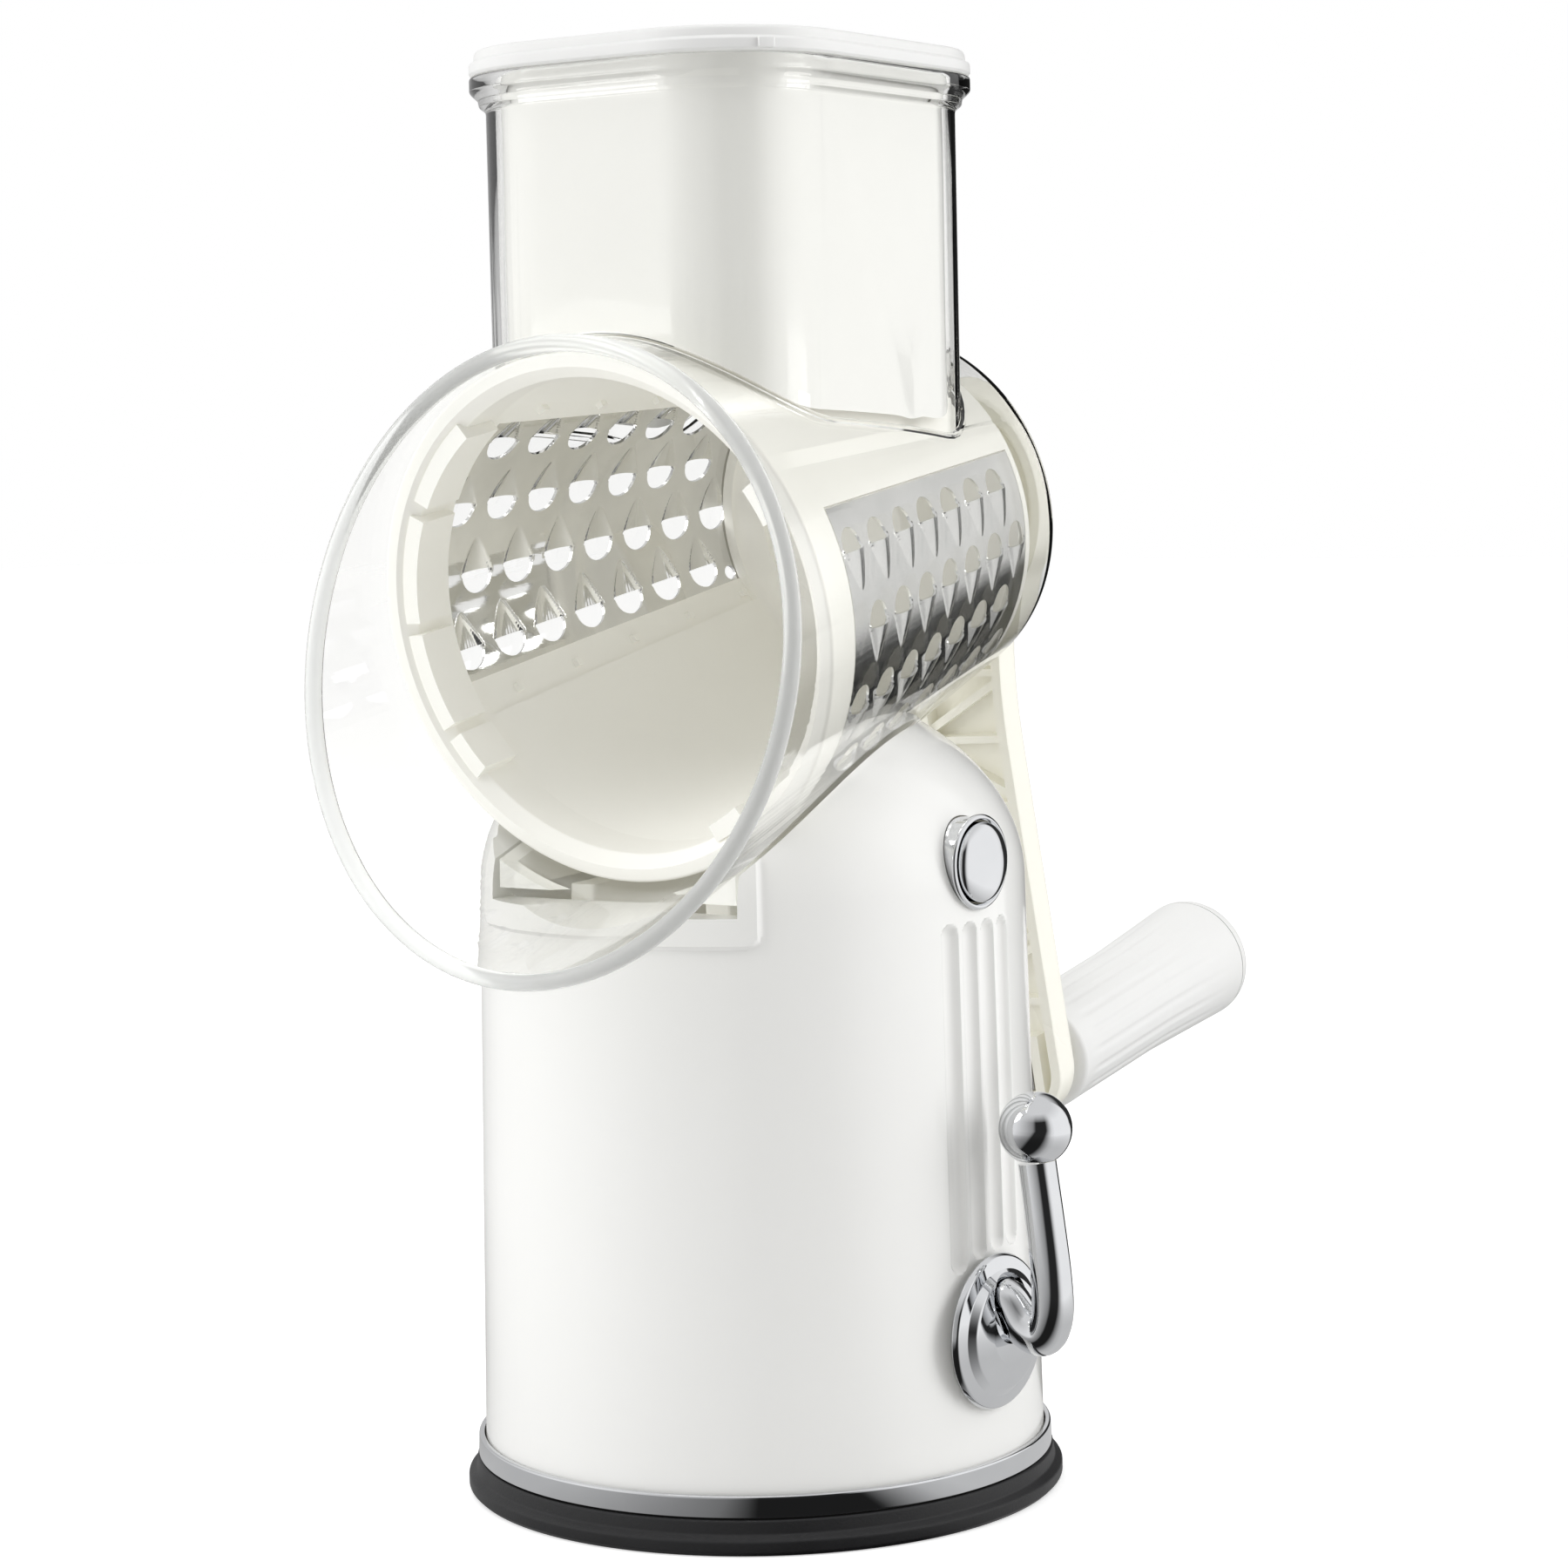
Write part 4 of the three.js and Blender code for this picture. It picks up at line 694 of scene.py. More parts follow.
# ---------------------------------------------------------------- stand
@dataclass
class Stand:
    """White tower with its saddle and slot, the chrome band and the rubber cup."""

    foot_radius: float = 56.4 * MM
    top_radius: float = 54.4 * MM
    bottom: float = 6.9 * MM
    shoulder: float = 121.0 * MM
    dome: float = 40.0 * MM
    wall: float = 3.0 * MM
    slot_half: float = 29.0 * MM
    slot_floor: float = 119.8 * MM
    trough_floor: float = 112.6 * MM
    trough_rear: float = 21.0 * MM
    saddle_gap: float = 0.5 * MM
    flute_count: int = 4
    flute_top: float = 113.5 * MM
    flute_bottom: float = 53.8 * MM
    flute_stagger: float = 2.7 * MM
    flute_radius: float = 2.5 * MM
    flute_depth: float = 1.6 * MM
    flute_pitch: float = 0.108
    border_height: float = 0.9 * MM
    border_half: float = 35.4 * MM
    border_shift: float = 0.9 * MM
    border_rise: float = 4.0 * MM
    border_half_height: float = 10.0 * MM
    border_corner: float = 3.0 * MM
    boss_place: float = 45.0 * MM
    button_hole: float = 8.8 * MM
    lever_hole: float = 6.3 * MM
    latch_half: float = 3.6 * MM
    band_inner: float = 56.7 * MM
    cup_radius: float = 60.0 * MM
    cup_top: float = 6.6 * MM

    def radius(self, height: Array, inset: float = 0.0) -> Array:
        """Wall radius: a straight taper, then a quarter ellipse over the shoulder."""
        taper = self.foot_radius + (self.top_radius - self.foot_radius) * (
            (height - self.bottom) / (self.shoulder - self.bottom))
        t = np.clip((height - self.shoulder) / (self.dome - inset), 0.0, 1.0)
        over = (self.top_radius - inset) * np.sqrt(1.0 - t * t)
        return np.where(height < self.shoulder, taper - inset, over)

    def flutes(self, angle: Array, height: Array) -> Array:
        """Depth of the grip flutes: a round bar with round ends, sunk into the wall."""
        depth = np.zeros(np.broadcast(angle, height).shape)
        sunk = self.flute_radius - self.flute_depth
        for i in range(self.flute_count):
            centre = CONTROLS_TURN + (i - (self.flute_count - 1) / 2) * self.flute_pitch
            lead = 1.0 - i / (self.flute_count - 1)
            bottom = self.flute_bottom - self.flute_stagger * lead**3
            across = (angle - centre) * self.top_radius
            beyond = np.maximum(height - self.flute_top, 0) + np.maximum(bottom - height, 0)
            bar = np.sqrt(np.maximum(self.flute_radius**2 - across**2 - beyond**2, 0.0))
            depth = np.maximum(depth, bar - sunk)
        return depth

    def border(self, angle: Array, height: Array) -> Array:
        """Height of the raised border round the slot's mouth: a rounded plateau."""
        across = (np.abs((angle + math.pi / 2) * self.top_radius + self.border_shift)
                  - self.border_half)
        along = np.abs(height - self.slot_floor - self.border_rise) - self.border_half_height
        corner = self.border_corner
        outside = np.hypot(np.maximum(across + corner, 0), np.maximum(along + corner, 0))
        distance = corner - outside - np.minimum(np.maximum(across, along) + corner, 0)
        return self.border_height * smooth(0.0, self.border_height, distance)

    def outside(self) -> bpy.types.Object:
        """The tower's outer skin as a closed solid, with its flutes and border."""
        degree = math.pi / 180
        dense = CONTROLS_TURN + np.arange(-13, 13.01, 0.3) * degree
        front = -math.pi / 2 + np.arange(-42, 42.01, 0.6) * degree
        rest = np.arange(-180, 180, 2.0) * degree
        rest = rest[(np.abs(rest - CONTROLS_TURN) > 13.6 * degree)
                    & (np.abs(rest + math.pi / 2) > 42.8 * degree)]
        angle = np.sort(np.concatenate([dense, front, rest]))[None, :]
        swing = np.linspace(math.asin(14 / 40), math.pi / 2, 34)
        height = np.concatenate([
            [self.bottom, self.bottom + 0.3 * MM],
            np.arange(12, 46, 6.0) * MM, np.arange(47, 58, 0.4) * MM,
            np.arange(58.5, 106, 3.0) * MM, np.arange(107, 135, 0.45) * MM,
            self.shoulder + self.dome * np.sin(swing)])[:, None]
        radius = self.radius(height) - self.flutes(angle, height) + self.border(angle, height)
        radius[-1] = 0.0
        grid = np.stack([radius * np.cos(angle), radius * np.sin(angle),
                         height + 0 * radius], -1)
        base = np.zeros((1, grid.shape[1], 3))
        base[..., 2] = self.bottom
        return surface("stand_tower", np.concatenate([base, grid]))

    def inside(self) -> bpy.types.Object:
        """The hollow of the tower, before the saddle's and the trough's walls."""
        swing = np.linspace(0.0, math.pi / 2, 24)
        dome = self.dome - self.wall
        profile = [(0.0, self.bottom - MM), (self.foot_radius - self.wall, self.bottom - MM)]
        profile += [((self.top_radius - self.wall) * math.cos(t),
                     self.shoulder + dome * math.sin(t)) for t in swing]
        profile[-1] = (0.0, self.shoulder + dome)
        return turned("tower_hollow", np.array(profile), columns=120)

    def shell(self) -> bpy.types.Object:
        """The tower: outer skin, hollow, saddle, trough, slot, bosses and holes."""
        top = self.shoulder + self.dome + 5 * MM
        inner = float(self.radius(np.array(self.trough_floor))) - self.wall
        trough_front = -math.sqrt(inner**2 - self.slot_half**2)
        hollow = combined(
            self.inside(), Cut.REMOVE,
            BARREL.cone("saddle_wall", self.saddle_gap + self.wall, -100 * MM, 90 * MM),
            block("trough_wall", (-self.slot_half - self.wall, trough_front - self.wall,
                                  self.trough_floor - self.wall),
                  (self.slot_half + self.wall, self.trough_rear + self.wall, top)),
            block("mouth_wall", (-self.slot_half - self.wall, -self.cup_radius,
                                 self.slot_floor - self.wall),
                  (self.slot_half + self.wall, trough_front, top)))
        shell = combined(
            self.outside(), Cut.REMOVE, hollow,
            block("trough", (-self.slot_half, trough_front, self.trough_floor),
                  (self.slot_half, self.trough_rear, top)),
            block("mouth", (-self.slot_half, -70 * MM, self.slot_floor),
                  (self.slot_half, trough_front + MM, top)))
        for i in range(4):
            turn = Matrix.Rotation((i + 0.5) * math.pi / 2, 4, "Z")
            out = turn @ Matrix.Translation((self.boss_place, 0, 0))
            boss = cylinder("boss", 5.4 * MM, 10.2 * MM, 31 * MM, out, 24)
            pilot = cylinder("pilot", 1.6 * MM, 9 * MM, 27 * MM, out, 16)
            web = block("boss_web", (self.boss_place, -1.2 * MM, 10.2 * MM),
                        (54.9 * MM, 1.2 * MM, 31 * MM), turn)
            shell = combined(shell, Cut.JOIN, boss, web)
            shell = combined(shell, Cut.REMOVE, pilot)
        return combined(
            shell, Cut.REMOVE,
            BARREL.cone("saddle", self.saddle_gap, -100 * MM, 90 * MM),
            self.side_hole("button_hole", self.button_hole, middle_height("release_button")),
            self.side_hole("lever_hole", self.lever_hole, LEVER_JOINT["pos_m"][2]),
            block("latch_slot",
                  (self.slot_half - MM, -self.latch_half, self.trough_floor + 3.4 * MM),
                  (self.slot_half + self.wall + MM, self.latch_half,
                   self.trough_floor + 9.4 * MM), CONTROLS))

    @staticmethod
    def side_hole(name: str, radius: float, height: float) -> bpy.types.Object:
        """A cutter through the wall on the controls' side."""
        return cylinder(name, radius, 40 * MM, 70 * MM, on_side(height))

    def cup(self) -> bpy.types.Object:
        """The rubber cup: a wide lower lip, a step, and a collar under the band."""
        r, top = self.cup_radius, self.cup_top
        profile = rounded([
            (0, 0), (r - 0.9 * MM, 0, 0.7 * MM), (r, 0.9 * MM, 0.5 * MM),
            (r, 3.0 * MM, 0.8 * MM), (r - 1.5 * MM, 3.9 * MM, 0.7 * MM),
            (r - 1.9 * MM, top, 0.6 * MM), (50 * MM, top, 0.4 * MM), (50 * MM, 3.8 * MM, 0.4 * MM),
            (20 * MM, 3.8 * MM, 0.4 * MM), (20 * MM, 1.6 * MM, 0.4 * MM), (0, 1.6 * MM)], 5)
        return turned("rubber_cup", profile, columns=220)

    def band(self) -> bpy.types.Object:
        """The chrome band: a flat ring that leans out a little at the bottom."""
        low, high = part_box("chrome_band")
        inner, outer, bottom, top = self.band_inner, high[0], low[2], high[2]
        profile = rounded([
            (inner, bottom), (outer, bottom, 0.3 * MM), (outer - 0.15 * MM, top, 0.8 * MM),
            (inner, top, 0.1 * MM)], 6, closed=True)
        return turned("chrome_band_ring", profile, ring=True, columns=220)

    def build(self, shop: Workshop) -> None:
        """Builds and finishes the stand's visible pieces."""
        shop.fit(self.shell(), Body.STAND, Slot.WHITE, "body_shell", degrees=28)
        shop.fit(self.cup(), Body.STAND, Slot.RUBBER, "suction_cup")
        shop.fit(self.band(), Body.STAND, Slot.CHROME, "chrome_band")
        for side in ("left", "right"):
            rail = f"seat_rail_{side}"
            shop.fit(refined(rail, f"{rail}_eased", 0.5 * MM), Body.STAND, Slot.CREAM, rail)


def middle_height(node: str) -> float:
    """Returns the height of the middle of a CAD node."""
    low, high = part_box(node)
    return (low[2] + high[2]) / 2


# ---------------------------------------------------------------- clear housing
@dataclass
class Chute:
    """The plan of the feed chute, shared by the chute, the pusher and the lid."""

    half_x: float = 37.0 * MM
    half_y: float = 43.0 * MM
    corner: float = 23.0 * MM
    centre_y: float = -4.0 * MM
    wall: float = 1.6 * MM
    top: float = 279.0 * MM
    rim: float = 3.1 * MM
    steps: int = 14

    def ring(self, grow: float, height: Array | float) -> Array:
        """One horizontal loop of the chute's family, widened on all sides."""
        plan = outline_rectangle(self.half_x + grow, self.half_y + grow,
                                 self.corner + grow, (0.0, self.centre_y), self.steps)
        return np.column_stack([plan, np.broadcast_to(height, len(plan))])

    def stack(self, name: str, profile: Sequence[tuple]) -> bpy.types.Object:
        """Makes a solid from (grow, height) pairs, upwards."""
        return lofted(name, [self.ring(grow, height) for grow, height in profile])


CHUTE = Chute()


@dataclass
class Housing:
    """The clear moulding: barrel with its flared guard, feed chute, and hollow foot."""

    rear_wall: float = 2.4 * MM
    bush: float = 8.8 * MM
    guard_top: tuple = (-59.0 * MM, 231.6 * MM)
    guard_bottom: tuple = (-78.0 * MM, 109.1 * MM)
    guard_power: float = 1.4
    newton_steps: int = 20
    bead: float = 1.7 * MM
    bead_gap: float = 0.04 * MM
    latch_half: float = 3.6 * MM
    foot_half: float = 28.0 * MM
    foot_front: float = -46.0 * MM
    foot_rear: float = 20.0 * MM
    foot_bottom: float = 122.1 * MM
    foot_wall: float = 2.5 * MM
    junction: float = 1.4 * MM

    def guard_line(self, height: Array) -> Array:
        """Station of the guard's edge: forwards with a power of the drop from the top."""
        drop = (self.guard_top[1] - height) / (self.guard_top[1] - self.guard_bottom[1])
        lean = np.clip(drop, 0.0, 1.0) ** self.guard_power
        return self.guard_top[0] + (self.guard_bottom[0] - self.guard_top[0]) * lean

    def guard_edge(self, count: int = 240) -> Array:
        """Points of the guard's edge, by Newton steps of the station along the cone."""
        angle = np.linspace(0, 2 * math.pi, count, endpoint=False)
        station = np.full(count, -60.0 * MM)
        cos, sin = math.cos(AXIS_TILT), math.sin(AXIS_TILT)
        for _ in range(self.newton_steps):
            radius = BARREL.radius(station) - BARREL.wall / 2
            across, rise = radius * np.cos(angle), radius * np.sin(angle)
            forward = station * cos - rise * sin
            height = AXIS_HEIGHT + station * sin + rise * cos
            station = station + (self.guard_line(height) - forward) / cos
        return np.stack([across, forward, height], -1)

    def guard_cutter(self) -> bpy.types.Object:
        """Everything in front of the guard's edge, as a block with a curved back."""
        height = np.linspace(self.guard_bottom[1] - 8 * MM, self.guard_top[1] + 8 * MM, 60)
        edge = np.stack([self.guard_line(height), height], -1)
        low, high = edge[0, 1] - 20 * MM, edge[-1, 1] + 30 * MM
        loop = np.vstack([[-0.16, low], [edge[0, 0], low], edge, [edge[-1, 0], high],
                          [-0.16, high]])
        into = Matrix(((0, 0, 1, 0), (1, 0, 0, 0), (0, 1, 0, 0), (0, 0, 0, 1)))
        return slab("guard_cutter", loop, -0.08, 0.08, into)

    def barrel(self) -> bpy.types.Object:
        """Outside of the barrel with an eased rear edge."""
        rear, front = BARREL.rear, BARREL.front
        end = BARREL.radius(rear)
        profile = rounded([(0, front), (BARREL.radius(front), front), (end, rear, 2.6 * MM),
                           (0, rear)], 6)
        return turned("clear_housing", profile, DRUM_PLACE, columns=256)

    def chute(self) -> bpy.types.Object:
        """Outside of the chute: straight wall, small collar, and a flared rim."""
        top, rim = CHUTE.top, CHUTE.rim
        lip = rounded([(0, top - 20 * MM), (0, top - 6.4 * MM, 1.2 * MM),
                       (1.3 * MM, top - 5.4 * MM, 0.6 * MM), (1.5 * MM, top - 4.2 * MM, 0.6 * MM),
                       (rim, top - 2.7 * MM, 1.0 * MM), (rim, top, 0.7 * MM), (rim - MM, top)], 5)
        low = AXIS_HEIGHT + 8 * MM
        return CHUTE.stack("chute_outside", [(0.0, low), *map(tuple, lip)])

    def fillet(self) -> bpy.types.Object:
        """A soft bead where the chute grows out of the barrel, by its crossing line."""
        ring = CHUTE.ring(0.5 * MM, 0.0)[:, :2]
        loop = spaced(np.vstack([ring, ring[:1]]), 2.0 * MM)[:-1]
        cos, sin = math.cos(AXIS_TILT), math.sin(AXIS_TILT)
        rise = np.full(len(loop), 30.0 * MM)
        for _ in range(self.newton_steps):
            station = loop[:, 1] * cos + rise * sin
            radius = BARREL.radius(station)
            local = np.sqrt(np.maximum(radius**2 - loop[:, 0]**2, 0.0))
            rise = (local + loop[:, 1] * sin) / cos
        path = np.column_stack([loop, AXIS_HEIGHT + rise])
        return swept("chute_fillet", path, self.junction / 2, 10, closed=True)

    def foot(self) -> bpy.types.Object:
        """The hollow foot under the barrel, with the notch for the latch."""
        half, wall = self.foot_half, self.foot_wall
        foot = block("clear_foot", (-half, self.foot_front, self.foot_bottom),
                     (half, self.foot_rear, AXIS_HEIGHT))
        hollow = block("foot_inside", (wall - half, self.foot_front + wall,
                                       self.foot_bottom - MM),
                       (half - wall, self.foot_rear - wall, AXIS_HEIGHT))
        hollow = combined(hollow, Cut.REMOVE, BARREL.cone(
            "barrel_core", -BARREL.wall / 2, BARREL.front, BARREL.rear))
        foot = combined(foot, Cut.REMOVE, hollow)
        notch = block(
            "latch_notch", (half - wall - MM, -self.latch_half, self.foot_bottom - MM),
            (half + MM, self.latch_half, self.foot_bottom + 5.6 * MM), CONTROLS)
        return combined(foot, Cut.REMOVE, notch, BARREL.cone(
            "foot_room", self.bead_gap, BARREL.front, BARREL.rear))

    def shell(self) -> bpy.types.Object:
        """The clear barrel and chute in one."""
        whole = combined(self.barrel(), Cut.JOIN, self.chute(), self.fillet())
        bore = BARREL.cone("bore", -BARREL.wall, BARREL.front - 2 * MM,
                           BARREL.rear - self.rear_wall)
        top = CHUTE.top
        throat = CHUTE.stack("throat", [(-CHUTE.wall, AXIS_HEIGHT), (-CHUTE.wall, top - 1.2 * MM),
                                        (-CHUTE.wall + 0.8 * MM, top), (1 * MM, top + 3 * MM)])
        hole = cylinder("bush_hole", self.bush, BARREL.rear - 9 * MM, BARREL.rear + 5 * MM,
                        DRUM_PLACE)
        whole = combined(whole, Cut.REMOVE, bore, throat, hole, self.guard_cutter())
        room = swept("bead_room", self.guard_edge(), self.bead + self.bead_gap, 20, closed=True)
        return combined(whole, Cut.REMOVE, room)

    def guard_bead(self) -> bpy.types.Object:
        """The rounded bead that runs all the way round the guard's edge."""
        return swept("guard_bead", self.guard_edge(), self.bead, 20, closed=True)

    def build(self, shop: Workshop) -> None:
        """Builds and finishes the clear housing and the bush in its rear wall."""
        shop.fit(self.shell(), Body.HOUSING, Slot.CLEAR, "barrel_shell", "feed_chute", degrees=35)
        shop.fit(self.foot(), Body.HOUSING, Slot.CLEAR, "housing_foot",
                 finish="cloudy clear plastic")
        shop.fit(self.guard_bead(), Body.HOUSING, Slot.CLEAR, finish="clear plastic bead")
        shop.fit(refined("rear_bush", "bush", 0.3 * MM), Body.HOUSING, Slot.CREAM, "rear_bush")


# ---------------------------------------------------------------- drum
def around(radius: Array, angle: Array, station: Array) -> Array:
    """Points of the drum: angle in degrees up from +X, station along the axis."""
    turn = np.radians(angle)
    return np.stack(np.broadcast_arrays(radius * np.cos(turn), -radius * np.sin(turn),
                                        station), -1)


def wedge(name: str, inner: float, outer: float, start: float, end: float,
          low: float, high: float, place: Matrix = DRUM_PLACE) -> bpy.types.Object:
    """A block between two radii, two angles (low, high) and two stations."""
    angle = np.linspace(low, high, max(3, math.ceil((high - low) / 2.5)))
    loop = np.vstack([around(outer, angle, 0.0), around(inner, angle[::-1], 0.0)])[:, :2]
    return slab(name, loop, start, end, place)


@dataclass
class Drum:
    """Open-ended grating drum: cream frame with two stainless sheets in its windows."""

    front: float = -50.0 * MM
    rear: float = 49.0 * MM
    sheet_front: float = -38.0 * MM
    sheet_rear: float = 46.0 * MM
    sheet_gap: float = 1.7 * MM
    thickness: float = 0.6 * MM
    wall: float = 2.4 * MM
    opening: float = 46.0 * MM
    starts: tuple = (-53.0, 127.0)
    span: float = 75.0
    rows: int = 4
    columns: int = 7
    pitch: float = 11.4 * MM
    first_tooth: float = 4.9 * MM
    row_lead: float = 0.62
    row_slack: float = 0.2
    lip: float = 0.45 * MM
    hole_half: float = 4.0 * MM
    hole_height: float = 4.4 * MM
    scoop_length: float = 7.8 * MM
    scoop_height: float = 1.5 * MM
    scoop_narrowing: float = 0.8
    scoop_fall: float = 1.1
    arch_power: float = 0.85
    pin_hole: float = 1.5 * MM
    pin_hole_station: float = 42.5 * MM
    pin_hole_inset: float = 5.5
    lug_angles: tuple = ((126, 150), (154, 181), (184, 208), (211, 222), (296, 306), (24, 34))

    def radius(self, station: Array | float) -> Array | float:
        """Outside radius of the sheets and of the frame between them."""
        return BARREL.radius(station) - BARREL.wall - self.sheet_gap

    def teeth(self, start: float) -> list[tuple[float, float]]:
        """(station, angle) of each tooth; every second row, from the lowest on, is shifted."""
        out = []
        for row in range(self.rows):
            angle = start + self.span * (row + self.row_lead) / (self.rows + self.row_slack)
            for column in range(self.columns):
                shift = column + ((row + 1) % 2) * 0.5
                out.append((self.sheet_front + self.first_tooth + self.pitch * shift, angle))
        return out

    def scoops(self, station: Array, angle: Array, start: float) -> Array:
        """Height of the scoops over the sheet.

        Each scoop is highest at the straight lip of its hole and runs out to a point on the
        side of the smaller angle: height = h (1 - t)^k sqrt(1 - (a / w)^2), where t runs
        along the scoop, a lies across it, and w narrows with t.
        """
        height = np.zeros(np.broadcast(station, angle).shape)
        for centre, tooth_angle in self.teeth(start):
            radius = self.radius(centre)
            along = -np.radians(angle - tooth_angle) * radius
            across = station - centre
            t = np.clip((along + self.lip) / self.scoop_length, 0.0, 1.0)
            width = (self.hole_half + 0.15 * MM) * (1.0 - t) ** self.scoop_narrowing + 1e-6
            dome = np.sqrt(np.clip(1.0 - (across / width) ** 2, 0.0, 1.0))
            bump = self.scoop_height * (1.0 - t) ** self.scoop_fall * dome
            height = np.where(along > -self.lip, np.maximum(height, bump), height)
        return height

    def hole(self, centre: float, tooth_angle: float) -> bpy.types.Object:
        """A cutter for one hole: a straight lip and an arched edge beyond it."""
        a = np.linspace(0.0, math.pi, 17)
        arch = np.stack([self.hole_half * np.cos(a),
                         self.hole_height * np.sin(a) ** self.arch_power], -1)
        radius = self.radius(centre)
        rings = []
        for depth in (-4.0 * MM, 4.0 * MM):
            angle = tooth_angle + np.degrees(arch[:, 1] / radius)
            rings.append(around(radius + depth, angle, centre + arch[:, 0]))
        return lofted("tooth_hole", rings, DRUM_PLACE)

    def sheet(self, name: str, start: float) -> bpy.types.Object:
        """One stamped sheet, from a dense grid raised by its scoops and cut by its holes."""
        station = np.linspace(self.sheet_front, self.sheet_rear, 250)[:, None]
        angle = np.linspace(start, start + self.span, 190)[None, :]
        rise = self.scoops(station, angle, start)
        outer = around(self.radius(station) + rise, angle, station)
        inner = around(self.radius(station) - self.thickness + rise, angle, station)
        grid = np.concatenate([outer, inner[:, ::-1]], axis=1)
        middle = (outer + inner) / 2
        edge = np.concatenate([middle, middle[:, ::-1]], axis=1)
        grid = np.concatenate([edge[:1], grid, edge[-1:]])
        sheet = surface(name, grid, DRUM_PLACE)
        holes = [self.hole(*tooth) for tooth in self.teeth(start)]
        inset = self.pin_hole_inset if start < 0 else self.span - self.pin_hole_inset
        spot = Vector(around(self.radius(self.pin_hole_station), start + inset,
                             self.pin_hole_station))
        outwards = Vector((spot.x, spot.y, 0.0)).to_track_quat("Z", "Y").to_matrix().to_4x4()
        drill = cylinder("pin_hole", self.pin_hole, -4 * MM, 4 * MM,
                         DRUM_PLACE @ Matrix.Translation(spot) @ outwards, 20)
        return combined(sheet, Cut.REMOVE, *holes, drill)

    def band_block(self, name: str, stations: tuple, angles: Array, high: float,
                   low: float) -> bpy.types.Object:
        """A block between two stations, two angles and two offsets from the outside radius."""
        station, angle = np.array(stations)[:, None], angles[None, :]
        outer = around(self.radius(station) + high, angle, station)
        inner = around(self.radius(station) + low, angle, station)
        return lofted(name, list(np.concatenate([outer, inner[:, ::-1]], axis=1)), DRUM_PLACE)

    def frame(self) -> bpy.types.Object:
        """The moulded frame: lathe-turned cup with windows, seats, socket and lugs."""
        front, rear, wall = self.front, self.rear, self.wall
        bore = BARREL.radius(front) - BARREL.wall - 0.7 * MM
        step = BARREL.radius(front + 6 * MM) - BARREL.wall - 0.7 * MM
        profile = rounded([
            (self.opening + 2.4 * MM, front), (bore, front, 0.8 * MM),
            (step, front + 6 * MM, 0.5 * MM),
            (self.radius(front + 7 * MM), front + 7 * MM, 0.4 * MM),
            (self.radius(rear), rear, 1.2 * MM), (11 * MM, rear, 0.3 * MM), (0, rear)], 5)
        inside = rounded([
            (0, rear - wall), (25 * MM, rear - wall, 0.5 * MM),
            (26 * MM, rear - wall - 1.6 * MM, 0.5 * MM),
            (self.radius(rear) - wall, rear - wall - 1.6 * MM, 2.2 * MM),
            (self.radius(self.sheet_front) - wall, self.sheet_front, 0.6 * MM),
            (self.opening, self.sheet_front - 2 * MM, 0.4 * MM),
            (self.opening, front + 2.6 * MM, 1.0 * MM), (self.opening + 2.4 * MM, front)], 5)
        frame_piece = turned("drum_body", np.vstack([profile, inside]), DRUM_PLACE, columns=220)
        tools = []
        for start in self.starts:
            end = start + self.span
            tools.append(wedge("window", 20 * MM, 60 * MM, self.sheet_front + 0.9 * MM,
                               self.sheet_rear - 2 * MM, start + 2.5, end - 2.5))
            tools.append(self.band_block(
                "seat", (self.sheet_front - 0.3 * MM, self.sheet_rear + 0.3 * MM),
                np.linspace(start - 0.5, end + 0.5, 60), 3 * MM, -self.thickness - 0.3 * MM))
            for sides in ((start - 7.0, start + 2.6), (end - 2.6, end + 7.0)):
                tools.append(self.band_block(
                    "ledge", (self.sheet_front + 2 * MM, self.sheet_rear - 2.4 * MM),
                    np.linspace(*sides, 8), 0.8 * MM - wall, -wall - 4 * MM))
        frame_piece = combined(frame_piece, Cut.REMOVE, *tools)
        extras = []
        for low_angle, high_angle in self.lug_angles:
            extras.append(wedge("lug", self.opening - 2.2 * MM, self.opening + 1.2 * MM,
                                front + 0.6 * MM, front + 10.5 * MM, low_angle, high_angle))
        for start in self.starts:
            for side, angle in ((1, start + self.span + 3.0), (-1, start - 3.0)):
                for station in np.arange(-26, 45, 17.0) * MM:
                    inner = self.radius(station) - wall
                    extras.append(wedge("peg", inner - 0.3 * MM, inner + 1.2 * MM,
                                        station - 0.8 * MM, station + 0.8 * MM,
                                        angle - 1.1, angle + 1.1))
        socket = rounded([(0, rear - 13 * MM), (11 * MM, rear - 13 * MM, 0.8 * MM),
                          (11.4 * MM, rear - wall + 0.4 * MM), (0, rear - wall + 0.4 * MM)], 4)
        extras.append(turned("socket", socket, DRUM_PLACE, columns=64))
        frame_piece = combined(frame_piece, Cut.JOIN, *extras)
        half = 4.5 * MM
        return combined(frame_piece, Cut.REMOVE, block(
            "socket_hole", (-half, -half, rear - 11 * MM), (half, half, rear + MM), DRUM_PLACE))

    def build(self, shop: Workshop) -> None:
        """Builds and finishes the frame and its two sheets."""
        shop.fit(self.frame(), Body.DRUM, Slot.CREAM, "drum_frame", degrees=30)
        shop.fit(self.sheet("stamped_sheet_right", self.starts[0]), Body.DRUM, Slot.GRATING,
                 "grating_sheet_right", degrees=40)
        shop.fit(self.sheet("stamped_sheet_left", self.starts[1]), Body.DRUM, Slot.GRATING,
                 "grating_sheet_left", degrees=40)


